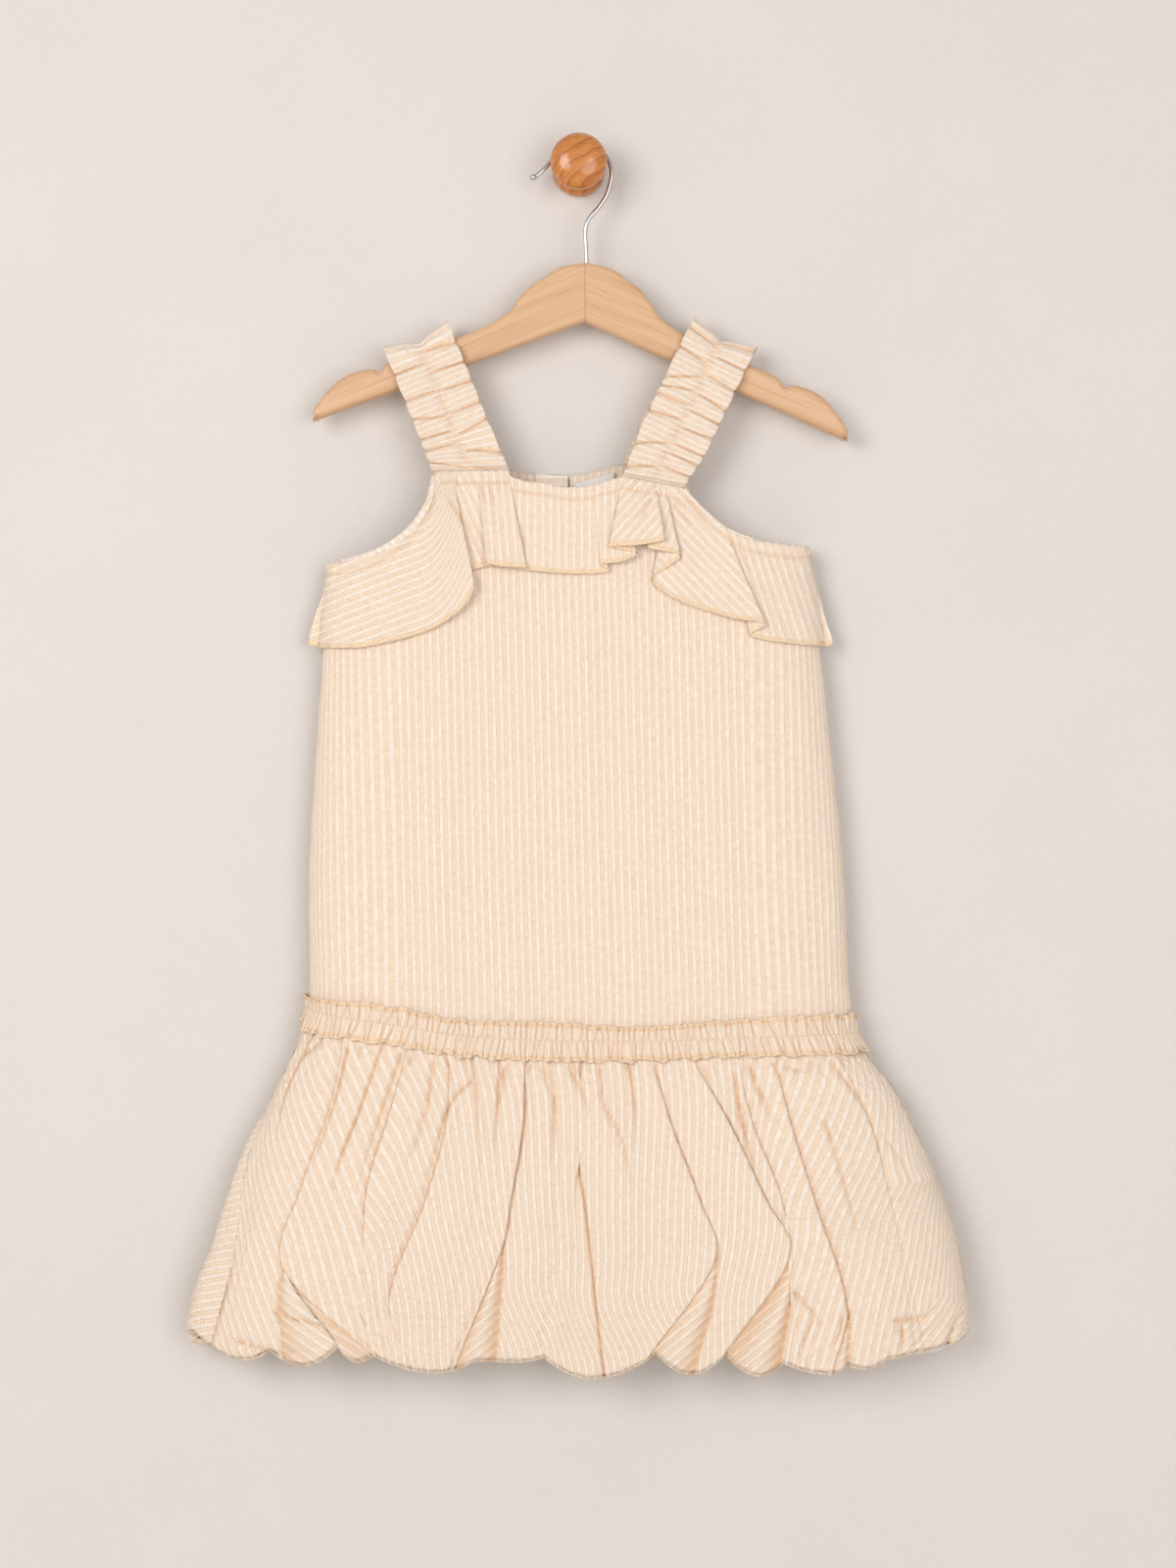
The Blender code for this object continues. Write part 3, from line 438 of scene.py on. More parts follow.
def noise_node(tree, vector, scale, detail=1.0, roughness=0.5, kind="3D"):
    node = tree.nodes.new("ShaderNodeTexNoise")
    node.noise_dimensions = kind
    tree.links.new(vector, node.inputs["Vector"])
    node.inputs["Scale"].default_value = scale
    node.inputs["Detail"].default_value = detail
    node.inputs["Roughness"].default_value = roughness
    return node.outputs["Fac"]


def combine(tree, x, y, z):
    node = tree.nodes.new("ShaderNodeCombineXYZ")
    for socket, value in zip(node.inputs, (x, y, z)):
        if isinstance(value, bpy.types.NodeSocket):
            tree.links.new(value, socket)
        else:
            socket.default_value = value
    return node.outputs[0]


def separate(tree, vector):
    node = tree.nodes.new("ShaderNodeSeparateXYZ")
    tree.links.new(vector, node.inputs[0])
    return node.outputs


def linear(red, green, blue):
    """A colour as seen on a screen, 0 to 255, as the light values that shaders take."""
    shares = np.array([red, green, blue]) / 255
    light = np.where(shares <= 0.04045, shares / 12.92, ((shares + 0.055) / 1.055) ** 2.4)
    return (*[float(value) for value in light], 1.0)

# %% The seersucker group
STRIPE_PAIR = 0.00466
CREAM = linear(250, 234, 216)
APRICOT = linear(245, 221, 195)
seersucker, group_in, group_out = new_group(
    "seersucker",
    [("Cloth", "NodeSocketVector", None), ("Repeat", "NodeSocketFloat", STRIPE_PAIR),
     ("Cream", "NodeSocketColor", CREAM), ("Apricot", "NodeSocketColor", APRICOT)],
    [("Color", "NodeSocketColor"), ("Height", "NodeSocketFloat")])
cloth_x, cloth_y, _ = separate(seersucker, group_in.outputs["Cloth"])
waver = noise_node(seersucker, group_in.outputs["Cloth"], 160.0, 2.0)
count = math_node(seersucker, "DIVIDE", cloth_x, group_in.outputs["Repeat"])
count = plus(seersucker, count, times(seersucker, waver, 0.24))
triangle = times(seersucker, math_node(seersucker, "PINGPONG", count, 0.5), 2.0)
stripe = remap(seersucker, triangle, 0.36, 0.64)
half_stripe = times(seersucker, plus(seersucker, count, 0.25), 2.0)
half_stripe = math_node(seersucker, "FLOOR", half_stripe)
hop = times(seersucker, half_stripe, 5.37)
down_stripe = times(seersucker, cloth_y, 270.0)
pucker = noise_node(seersucker, combine(seersucker, hop, down_stripe, 0.0), 1.0, 1.0, 0.45)
pucker = remap(seersucker, pucker, 0.3, 0.7)
yarn = noise_node(seersucker, group_in.outputs["Cloth"], 2600.0, 1.0)
slack = plus(seersucker, 0.55, times(seersucker, stripe, -0.3))
height = times(seersucker, pucker, slack)
height = plus(seersucker, height, times(seersucker, stripe, -0.18))
height = plus(seersucker, height, times(seersucker, yarn, 0.12))
colour = mix_colour(seersucker, stripe, group_in.outputs["Cream"], group_in.outputs["Apricot"])
fibre = times(seersucker, yarn, 0.4)
shade = plus(seersucker, times(seersucker, pucker, 0.6), fibre)
shade = remap(seersucker, shade, 0.0, 1.0, 0.91, 1.045, False)
colour = mix_colour(seersucker, 1.0, colour, combine(seersucker, shade, shade, shade), "MULTIPLY")
seersucker.links.new(colour, group_out.inputs["Color"])
seersucker.links.new(height, group_out.inputs["Height"])
print("seersucker repeat, mm:", STRIPE_PAIR / MM)

# %% [markdown]
# ## Overlocked edges
# The free edges of the ruffle and of the waist band aren't hemmed. An overlocker runs
# looping thread over them, a band about 3 mm wide in a warmer yellow than the cloth.
# A second group reads the "edge" map and gives a mask for that band, with the slanting
# threads as height. Real loops of thread are added on the outline later.

# %% The overlock group and the cloth materials
OVERLOCK_WIDTH = 0.0033
overlock, group_in, group_out = new_group(
    "overlock",
    [("Edge", "NodeSocketVector", None), ("Width", "NodeSocketFloat", OVERLOCK_WIDTH)],
    [("Mask", "NodeSocketFloat"), ("Height", "NodeSocketFloat"), ("Shade", "NodeSocketFloat")])
edge_x, edge_y, _ = separate(overlock, group_in.outputs["Edge"])
inner = math_node(overlock, "DIVIDE", edge_y, group_in.outputs["Width"])
ragged = noise_node(overlock, group_in.outputs["Edge"], 700.0, 1.0)
inner = plus(overlock, inner, times(overlock, ragged, 0.5))
mask = remap(overlock, inner, 1.0, 1.35, 1.0, 0.0)
slant = plus(overlock, times(overlock, edge_x, 820.0), times(overlock, edge_y, 330.0))
thread = times(overlock, math_node(overlock, "PINGPONG", slant, 0.5), 2.0)
overlock.links.new(mask, group_out.inputs["Mask"])
relief = times(overlock, times(overlock, thread, mask), 0.3)
overlock.links.new(relief, group_out.inputs["Height"])
overlock.links.new(remap(overlock, thread, 0.0, 1.0, 0.96, 1.04), group_out.inputs["Shade"])
THREAD = linear(255, 226, 193)
# Painted shade: the warm brown that the cloth is darkened towards deep in creases, under fold edges and
# along rows of stitches.
CREASE_SHADE_COLOUR = (0.82, 0.60, 0.41, 1)


def striped_cotton(name, cream=CREAM, apricot=APRICOT, overlocked=False, relief=0.0007):
    material, tree, shader = new_material(name, 0.9)
    shader.inputs["Specular IOR Level"].default_value = 0.25
    shader.inputs["Sheen Weight"].default_value = 0.12
    shader.inputs["Sheen Roughness"].default_value = 0.5
    weave = tree.nodes.new("ShaderNodeGroup")
    weave.node_tree = seersucker
    tree.links.new(uv_map(tree, "cloth"), weave.inputs["Cloth"])
    weave.inputs["Repeat"].default_value = STRIPE_PAIR
    weave.inputs["Cream"].default_value = cream
    weave.inputs["Apricot"].default_value = apricot
    colour, height = weave.outputs["Color"], weave.outputs["Height"]
    if overlocked:
        stitch = tree.nodes.new("ShaderNodeGroup")
        stitch.node_tree = overlock
        tree.links.new(uv_map(tree, "edge"), stitch.inputs["Edge"])
        stitch.inputs["Width"].default_value = OVERLOCK_WIDTH
        tint = combine(tree, stitch.outputs["Shade"], stitch.outputs["Shade"], stitch.outputs["Shade"])
        thread_colour = mix_colour(tree, 1.0, tint, THREAD, "MULTIPLY")
        colour = mix_colour(tree, stitch.outputs["Mask"], colour, thread_colour)
        height = plus(tree, height, stitch.outputs["Height"])
    # Painted shade: the crease map darkens the colour towards that warm brown, deep in creases and along
    # fold edges.
    shade_amount = times(tree, separate(tree, uv_map(tree, "crease"))[0], 0.8)
    colour = mix_colour(tree, shade_amount, colour, mix_colour(tree, 1.0, colour, CREASE_SHADE_COLOUR, "MULTIPLY"))
    tree.links.new(colour, shader.inputs["Base Color"])
    add_relief(tree, shader, height, relief)
    return material


body_cotton = striped_cotton("striped cotton, body")
frill_cotton = striped_cotton("striped cotton, overlocked", overlocked=True)
skirt_cotton = striped_cotton("striped cotton, skirt", relief=0.0009)
inside_cotton = striped_cotton("striped cotton, wrong side", linear(252, 242, 230), linear(247, 226, 205))
print("overlocked band, mm:", OVERLOCK_WIDTH / MM)

# %% [markdown]
# ## Camera, light and wall
# The photo looks straight at the wall from about two metres, level with the dress's
# middle. The camera's place came from the hanger's size in the picture. One large soft
# light stands at the left and one weaker one fills from the right, so that shadows fall
# softly to the right, as they do in the photo.

# %% Camera
FOCAL_PIXELS = 3269          # focal length in pixels of the photo
PHOTO_HEIGHT = 1600
camera_data = bpy.data.cameras.new("camera")
camera = bpy.data.objects.new("camera", camera_data)
bpy.context.scene.collection.objects.link(camera)
camera.location = (0.00557, -1.95, -0.3732)
camera.rotation_euler = (math.radians(90), 0, 0)
camera_data.sensor_fit = "VERTICAL"
camera_data.sensor_height = 36
camera_data.lens = FOCAL_PIXELS * camera_data.sensor_height / PHOTO_HEIGHT
bpy.context.scene.camera = camera
bpy.context.scene.view_settings.view_transform = "Standard"
print("lens, mm:", round(camera_data.lens, 2))

# %% Wall, floor and lights
def plain_paint(name, colour, one_sided=False):
    """Matt paint. A one-sided wall is clear from behind, to show the dress's back."""
    material, tree, shader = new_material(name, 0.95)
    shader.inputs["Specular IOR Level"].default_value = 0.1
    place = place_on_piece(tree)
    mottle = noise_node(tree, place, 9.0, 4.0, 0.55)
    shade = remap(tree, mottle, 0.2, 0.8, 0.975, 1.015, False)
    tint = mix_colour(tree, 1.0, colour, combine(tree, shade, shade, shade), "MULTIPLY")
    tree.links.new(tint, shader.inputs["Base Color"])
    add_relief(tree, shader, noise_node(tree, place, 240.0, 3.0, 0.6), 0.0012, 0.35)
    if one_sided:
        behind = tree.nodes.new("ShaderNodeNewGeometry")
        clear = tree.nodes.new("ShaderNodeBsdfTransparent")
        choose = tree.nodes.new("ShaderNodeMixShader")
        tree.links.new(behind.outputs["Backfacing"], choose.inputs[0])
        tree.links.new(shader.outputs[0], choose.inputs[1])
        tree.links.new(clear.outputs[0], choose.inputs[2])
        tree.links.new(choose.outputs[0], tree.nodes["Material Output"].inputs["Surface"])
    return material


bpy.ops.object.select_all(action="DESELECT")
bpy.ops.mesh.primitive_plane_add(size=6, location=(0, 0.0008, 0.6), rotation=(math.radians(90), 0, 0))
wall = bpy.context.active_object
wall.name = "wall"
wall.data.materials.append(plain_paint("wall paint", linear(229, 223, 217), True))
bpy.ops.mesh.primitive_plane_add(size=6, location=(0, -2.6, -1.25))
floor = bpy.context.active_object
floor.name = "floor"
floor.data.materials.append(plain_paint("floor paint", linear(226, 221, 216)))


def soft_light(name, place, size, power, colour):
    """A round soft light at a place, aimed at the middle of the dress."""
    data = bpy.data.lights.new(name, "AREA")
    data.shape = "DISK"
    data.size = size
    data.energy = power
    data.color = colour
    light = bpy.data.objects.new(name, data)
    bpy.context.scene.collection.objects.link(light)
    light.location = place
    x, y, z = np.array(DRESS_MIDDLE) - np.array(place)
    light.rotation_euler = (math.radians(90) - math.atan2(-z, math.hypot(x, y)), 0, math.atan2(-x, y))
    print(name, "light, W:", power)


DRESS_MIDDLE = (0.02, 0, -0.4)
soft_light("window", (-1.15, -2.0, 0.15), 1.3, 22, (1.0, 0.985, 0.98))
soft_light("fill", (0.9, -2.1, -0.25), 1.6, 16, (0.99, 0.988, 1.0))
world = bpy.data.worlds.new("room")
bpy.context.scene.world = world
world.use_nodes = True
background = world.node_tree.nodes["Background"]
background.inputs["Color"].default_value = (0.96, 0.965, 0.98, 1)
background.inputs["Strength"].default_value = 0.42

# %% [markdown]
# ## The bodice
# Front and back are each one straight panel from the armholes to the dropped waist. On
# the real dress they are cut flat with the stripes upright, and their armholes are
# bound. The top edge is a table of points from the left side seam over armhole, strap
# and neck to the right one. A few soft ridges and troughs of uneven length keep the
# panels from looking ironed.

# %% Edges of front and back
FRONT_TOP = (
    # x, drop
    (-149, 240.0),
    (-148.2, 240.2),
    (-146, 240.2),
    (-142.5, 239.6),
    (-136, 238.3),
    (-123, 234.3),
    (-110.6, 227.2),
    (-101, 219.3),
    (-93.3, 208.3),
    (-89, 197.0),
    (-87.5, 185.5),
    (-42.5, 185.0),
    (-40, 190.5),
    (-30, 191.5),
    (-6.3, 195.2),
    (6.3, 194.3),
    (17.7, 191.2),
    (26.5, 189.0),
    (63.2, 195.5),
    (70.3, 203.5),
    (79.7, 213.0),
    (89, 220.0),
    (98.5, 224.8),
    (111, 228.0),
    (124, 229.2),
    (131, 229.8),
    (134.5, 230.0),
    (136.3, 230.0),
    (137, 230.0),
)
BACK_TOP = (
    # x, drop
    (-149, 240.0),
    (-148.2, 240.0),
    (-146, 239.8),
    (-142.5, 239.0),
    (-136, 236.8),
    (-124, 231.5),
    (-112, 224.0),
    (-103.5, 216.0),
    (-96, 205.0),
    (-91, 194.0),
    (-88.5, 184.5),
    (-42.5, 182.5),
    (-28.4, 185.0),
    (-8, 186.4),
    (8, 184.2),
    (27, 179.0),
    (64, 188.0),
    (71.5, 200.0),
    (81, 210.5),
    (91, 218.0),
    (101, 223.5),
    (113, 227.0),
    (125, 229.0),
    (131, 229.6),
    (134.5, 230.0),
    (136.3, 230.0),
    (137, 230.0),
)
BODY_CREASES = (
    # turn, top, bottom, width, height
    (0.10, 300, 500, 9, 0.9),
    (0.19, 285, 390, 7, -0.8),
    (0.27, 330, 515, 10, 0.8),
    (0.36, 262, 350, 8, 0.7),
    (0.44, 400, 520, 9, -0.7),
    (0.52, 255, 420, 12, 0.6),
    (0.60, 430, 524, 8, 0.8),
    (0.68, 280, 400, 9, -0.8),
    (0.77, 330, 510, 10, 0.9),
    (0.87, 300, 420, 8, -0.7),
    (0.94, 380, 515, 7, 0.8),
    (1.08, 290, 500, 9, 0.8),
    (1.21, 260, 420, 8, -0.7),
    (1.33, 350, 515, 10, 0.8),
    (1.47, 300, 460, 9, 0.6),
    (1.62, 260, 400, 8, -0.8),
    (1.74, 340, 515, 10, 0.8),
    (1.88, 290, 430, 8, -0.6),
)


def body_creases(turn, drop):
    """Lift of the soft ridges and troughs on the bodice."""
    lift = 0.22 * soft_noise(across_cloth(turn, drop), drop, 26, 5)
    for at, top, bottom, width, height in BODY_CREASES:
        beside = across_cloth(turn, drop) - across_cloth(at, drop) + 0.03 * (drop - top)
        beside = np.where(np.floor(turn) == math.floor(at), beside, 1e3)
        inside = smooth_step((drop - top) / 45) * smooth_step((bottom - drop) / 60)
        lift = lift + height * np.exp(-(beside / width) ** 2) * inside
    return lift


def bodice(name, top, node, columns, rows, back=False):
    edge_x, edge_drop = np.array(top, float).T
    edge_turn = turn_at(edge_x, edge_drop)

    def spots(across, down):
        turn = edge_turn[0] + (edge_turn[-1] - edge_turn[0]) * across
        start = np.interp(turn, edge_turn, edge_drop)
        drop = start + (waist_drop(turn) - start) * down
        return turn, drop

    def place(across, down):
        turn, drop = spots(1 - across if back else across, down)
        turn = np.clip(2 - turn, 1.00001, 1.99999) if back else turn
        return dress_points(turn, drop, body_creases(turn, drop))

    def cloth(across, down, points):
        turn, drop = spots(1 - across if back else across, down)
        return np.stack([across_cloth(turn, drop), -drop], axis=-1) * MM

    piece, points = lay_cloth(name, columns, rows, place, cloth)
    finish_piece(piece, node, body_cotton)
    return piece


bodice("front_panel", FRONT_TOP, "bodice_front", 170, 150)
bodice_back = bodice("back_panel", BACK_TOP, "bodice_back", 110, 100, back=True)

# %% [markdown]
# ## The bubble skirt
# A bubble skirt is a wide flared panel, gathered at the waist, with its hem turned
# under and caught to a shorter lining, so that it puffs. Laid flat against a wall it
# falls into big petals that lie over each other. Each row of the table is one fold:
# where its edge runs from waist to hem, how far it laps over its neighbour, which side
# is on top, and how far it stands out. Below its corner an edge swings back, and the
# rounded layer under it shows. Since the panel is flared, its stripes lean more
# towards the sides and meet in a chevron at the seams.

# %% Tables of the skirt
SKIRT_FOLDS = (
    # waist, quarter, half, corner_at, corner, hem, overlap, spread, lift, on_top, fade
    (-154, -176, -184, 1.0, -200, -204, 0, 4, 0.3, 0, 0.3),
    (-138, -147, -164, 0.74, -175, -122, 9, 52, 4.8, -1, 1.0),
    (-113, -130, -146, 1.0, -138, -117, 0, 4, 0.6, 0, 0.45),
    (-98, -112, -126, 1.0, -124, -110, 3, 5, 4.6, -1, 0.6),
    (-78, -78, -91, 1.0, -112, -98, 7, 8, 4.8, -1, 0.85),
    (-66, -60, -66, 1.0, -80, -88, 0, 4, 0.6, 0, 0.25),
    (-47, -49, -54, 1.0, -66, -80, 0, 4, 0.6, 0, 0.3),
    (-33, -33.5, -41, 0.62, -45, -74, 8, 24, 6.2, 1, 1.0),
    (-19, -14, -18, 1.0, -20, -32, 0, 4, 0.6, 0, 0.3),
    (-5, 2, -6, 1.0, -8, -16, 0, 4, 0.6, 0, 0.3),
    (4, -3, 4, 1.0, 10.5, 15, 0, 6, 0.4, 0, 1.0),
    (28, 34, 30, 1.0, 30, 26, 0, 4, 0.6, 0, 0.25),
    (41, 54, 71.5, 0.68, 81, 41, 8, 27, 6.4, 1, 1.0),
    (61, 88, 110, 0.68, 125, 87, 8, 32, 7.0, 1, 1.0),
    (92, 103, 121, 1.0, 128, 131, 3, 5, 4.6, 1, 0.5),
    (114, 125.5, 140.5, 0.81, 158, 150, 8, 10, 5.4, 1, 1.0),
    (148, 171, 184, 1.0, 194, 200, 3, 6, 4.2, 1, 0.45),
)
SKIRT_SEAM = (
    # share of the length, x
    (0.0, -163.6),
    (0.25, -184.0),
    (0.5, -198.0),
    (0.75, -206.0),
    (0.9, -213.5),
    (1.0, -219.5),
)
FRONT_HEM = (
    # x, drop
    (-220, 708.0),
    (-199, 714.6),
    (-183.4, 707.7),
    (-163.7, 717.0),
    (-142.8, 704.8),
    (-131, 714.6),
    (-121.4, 710.6),
    (-84.9, 721.0),
    (-62, 713.6),
    (-36.7, 714.6),
    (-20.5, 711.7),
    (8.5, 724.5),
    (46, 708.8),
    (67.6, 722.0),
    (86.7, 709.4),
    (108, 722.8),
    (121.5, 715.0),
    (149.3, 722.0),
    (159.2, 716.0),
    (170, 719.3),
    (183, 713.5),
    (198.6, 710.6),
    (216.6, 707.0),
    (233, 702.0),
)
BACK_HEM = (
    # share of the back from the right seam to the left seam, drop
    (0.0, 702.0),
    (0.08, 709.0),
    (0.5, 715.0),
    (0.88, 708.0),
    (0.955, 700.0),
    (1.0, 708.0),
)
BACK_FOLDS = (
    # share, lift
    (0.05, 0.5),
    (0.115, 0.2),
    (0.19, 0.6),
    (0.25, 0.2),
    (0.33, 0.0),
    (0.41, 0.5),
    (0.475, 0.1),
    (0.56, 0.0),
    (0.63, 0.5),
    (0.72, 0.2),
    (0.79, 0.0),
    (0.86, 0.4),
    (0.92, 0.5),
)
CREST = ((0, 0), (0.05, 0.8), (0.14, 2.4), (0.4, 3.6), (0.8, 3.4), (1, 3.0))
SKIRT_ROWS = 88
COLUMN_WIDTH = 1.76          # about how wide one square of the front's grid is
HEM_ROLL_ROWS = 9
HEM_ROLL = 4.6               # radius of the rolled hem
GATHER_LENGTH = 26           # how far the small gathers run down from the band
FOLD_SHARE = 0.78            # of the height in the table that a fold keeps once pressed flat


def fold_edge(fold, share):
    waist, quarter, half, corner_at, corner, hem = fold[:6]
    path = ((0, waist), (0.25, quarter), (0.5, half), (min(corner_at, 0.8), corner), (1, hem))
    return along_rows(path, share)[0]


def fold_ribs(fold, share):
    """x, lift, layer, swing and crease of each rib of one fold. layer grows by one under
    a whole fold, swing marks the cloth that shows below a corner, crease is its shadow."""
    corner_at, overlap, spread, height, on_top, fade = fold[3], *fold[6:]
    edge = fold_edge(fold, share)
    crest = along_rows(CREST, share)[0]
    gone = float(smooth_step((share - fade + 0.12) / 0.24)) if fade < 1 else 0
    if on_top == 0:
        low = height * smooth_step(share / 0.14) - 1.0
        side = low + (crest - low) * (0.72 + 0.28 * gone)
        return [(edge - 1.7, side, 0, 0, 0.05), (edge, low + (crest - low) * gone, 0, 0, 0.8 * (1 - gone)),
                (edge + 1.7, side, 0, 0, 0.05)]
    corner_at = min(corner_at, fade, 0.85)
    cover = ((0, -2.6), (0.05, -2.2), (0.22, overlap), (max(corner_at - 0.1, 0.3), overlap),
             (corner_at, 0.5), (1, -spread))
    cover = float(along_rows(cover, share)[0])
    tall = ((0, 0.2), (0.05, 1.6), (0.22, height), (corner_at, height), (1, 0.62 * height + 1))
    tall = FOLD_SHARE * float(along_rows(tall, share)[0])
    tall = tall + (crest - tall) * gone
    tuck = 0.8 * smooth_step(share / 0.14)
    tuck = float(tuck + (crest - tuck) * gone * 0.6)
    shown = 1 - gone
    # Painted shade along this fold's edge and in its tuck.
    dark = shown * min(height / 7, 1) ** 1.2 * float(0.55 + 0.45 * smooth_step(share / 0.35))
    swing = float(smooth_step((share - corner_at + 0.03) / 0.06)) * shown
    nose = min(1.9, 0.45 * (tall - tuck))
    under = min(0.9, 0.4 * cover) if cover > 0 else -0.7
    step = 1.0 if cover > 0 else 1.3
    lobe = 2.6 * float(smooth_step(-cover / 12))
    outside = max(-cover, 0) + 1.5
    ribs = [(-1.3, tall, 0, 0, 0), (0, tall - 0.4 * nose, 0, 0, 0.2 * dark),
            (-under, tall - step * nose, shown, swing, 0.9 * dark),
            (-(under + cover) / 2, (tall - step * nose + tuck) / 2 + lobe, shown, swing,
             0.25 * dark * (1 - swing)),
            (-cover, tuck, shown, swing, dark),
            (outside, tuck + 0.5 * (crest - tuck), shown, 0, 0.5 * dark),
            (outside + 2.4, tuck + 0.85 * (crest - tuck), shown, 0, 0)]
    if on_top < 0:
        return [(edge - x, lift, shown - layer, wide, shade_amount) for x, lift, layer, wide, shade_amount in ribs[::-1]]
    return [(edge + x, lift, layer, wide, shade_amount) for x, lift, layer, wide, shade_amount in ribs]


# %% Ribs of the front
PLAIN_LEAN = -0.07           # degrees that the stripes lean, for each mm from the middle
SWING_LEAN = 50              # lean of the stripes below a corner


def stripe_cloth(across, down, lean):
    """Flat place of a point whose stripes lean by that many degrees."""
    turned = np.radians(lean)
    return np.stack([across * np.cos(turned) - down * np.sin(turned),
                     -across * np.sin(turned) - down * np.cos(turned)], axis=-1) * MM


def front_ribs(share):
    """x, lift, cloth layer, swing, painted crease shade and hand of every rib at one share."""
    seam_lift = 1.0 * float(smooth_step(share / 0.2))
    crest = float(along_rows(CREST, share)[0])
    right_side = float(along_rows(SECTIONS, 525 + 190 * share)[1]) + 0.3
    seam_x = float(along_rows(SKIRT_SEAM, share)[0])
    pressed = float(smooth_step((share - 0.66) / 0.16))
    left_end = [(seam_x - 2.0, seam_lift - 0.3 - 1.3 * pressed, 0, 0, 0.5 * pressed),
                (seam_x + 0.6, seam_lift - 0.6 * pressed, 0, 0, 0.6 * pressed),
                (seam_x + 2.6, seam_lift + 0.2 + 0.4 * pressed, 0, 0, 0)]
    right_end = [(right_side, seam_lift, 0, 0, 0)]
    groups = [left_end, *[fold_ribs(fold, share) for fold in SKIRT_FOLDS], right_end]
    for number, fold in enumerate(SKIRT_FOLDS, 1):
        group = groups[number]
        on_top = fold[9]
        if on_top > 0:
            limit = min(groups[number + 1][0][0], right_side) - 0.5
            groups[number] = group[:5] + [(min(group[5][0], limit - 0.4), *group[5][1:]),
                                          (min(group[6][0], limit), *group[6][1:])]
        elif on_top < 0:
            limit = groups[number - 1][-1][0] + 0.5
            groups[number] = [(max(group[0][0], limit), *group[0][1:]),
                              (max(group[1][0], limit + 0.4), *group[1][1:])] + group[2:]
    ribs = [(*row, 0) for row in left_end]
    layer = 0
    for number, (group, following) in enumerate(zip(groups, groups[1:])):
        start, end = float(group[-1][0]), float(following[0][0])
        fullness = min(max(0.55 + (end - start) / 50, 0.6), 1.15)
        ribs.append(((start + end) / 2, crest * fullness, layer, 0, 0, 0))
        hand = SKIRT_FOLDS[number][9] if number < len(SKIRT_FOLDS) else 0
        for x, lift, deeper, swing, shade_amount in following:
            ribs.append((float(x), float(lift), layer + deeper, float(swing), float(shade_amount), hand))
        layer += max(row[2] for row in following) if hand else 0
    return np.array(ribs)


def round_lobes(table, x):
    """A hem line that hangs in round lobes between sharp notches."""
    rows = np.array(table, float)
    low = np.clip(np.searchsorted(rows[:, 0], x, side="right") - 1, 0, len(rows) - 2)
    share = np.clip((x - rows[low, 0]) / (rows[low + 1, 0] - rows[low, 0]), 0, 1)
    start, end = rows[low, 1], rows[low + 1, 1]
    rising = start + (end - start) * np.sin(share * math.pi / 2) ** 0.85
    falling = end + (start - end) * np.sin((1 - share) * math.pi / 2) ** 0.85
    return np.where(end > start, rising, falling)


def skirt_front_grid():
    """Turn, drop, lift, cloth layer, swing, painted crease shade and hand of every point of the
    front, and for each column of faces the column of points whose layer and swing it has."""
    ribs = np.array([front_ribs(row / SKIRT_ROWS) for row in range(SKIRT_ROWS + 1)])
    widths = np.abs(np.diff(ribs[..., 0], axis=1)).max(0)
    splits = [int(min(max(round(width / COLUMN_WIDTH), 2), 18)) for width in widths]
    grid = through_ribs(ribs, splits)
    x = grid[..., 0]
    start = waist_drop(turn_at(x[0], 0 * x[0] + 522.0)) + 0.3
    end = round_lobes(FRONT_HEM, x[-1])
    share = np.linspace(0, 1, SKIRT_ROWS + 1)[:, None]
    drop = start + (end - start) * share
    turn = np.minimum(turn_at(x, drop), 0.9994)
    ends = np.cumsum([0, *splits])
    hands = np.sign(ribs[0, :-1, 5] + ribs[0, 1:, 5])
    owner = np.where(hands < 0, ends[1:], ends[:-1]).repeat(splits)
    return np.concatenate([np.stack([turn, drop], axis=-1), grid[..., 1:]], axis=-1), owner


def small_gathers(fabric, down, seed):
    """Fine gathers that fade below the band, from the cloth's own place at the waist."""
    waves = np.sin(fabric * 2 * math.pi / 7.1 + seed) + 0.8 * np.sin(fabric * 2 * math.pi / 4.7 + 2 * seed)
    depth = np.exp(-down / GATHER_LENGTH * (1.2 + 0.6 * np.sin(fabric / 17 + seed)))
    return 0.6 * waves * depth * smooth_step(down / 5)


def turned_hem(laid):
    """The rows of a skirt, with the hem rolled under and up."""
    angle = np.linspace(0, math.pi, HEM_ROLL_ROWS + 1)[1:, None]
    last = laid[-1][None]
    roll = np.repeat(last, HEM_ROLL_ROWS, axis=0)
    roll[..., 1] = last[..., 1] - 1.5 + HEM_ROLL * 0.8 * np.sin(angle)
    roll[..., 2] = last[..., 2] - HEM_ROLL * (1 - np.cos(angle))
    return np.concatenate([laid, roll])


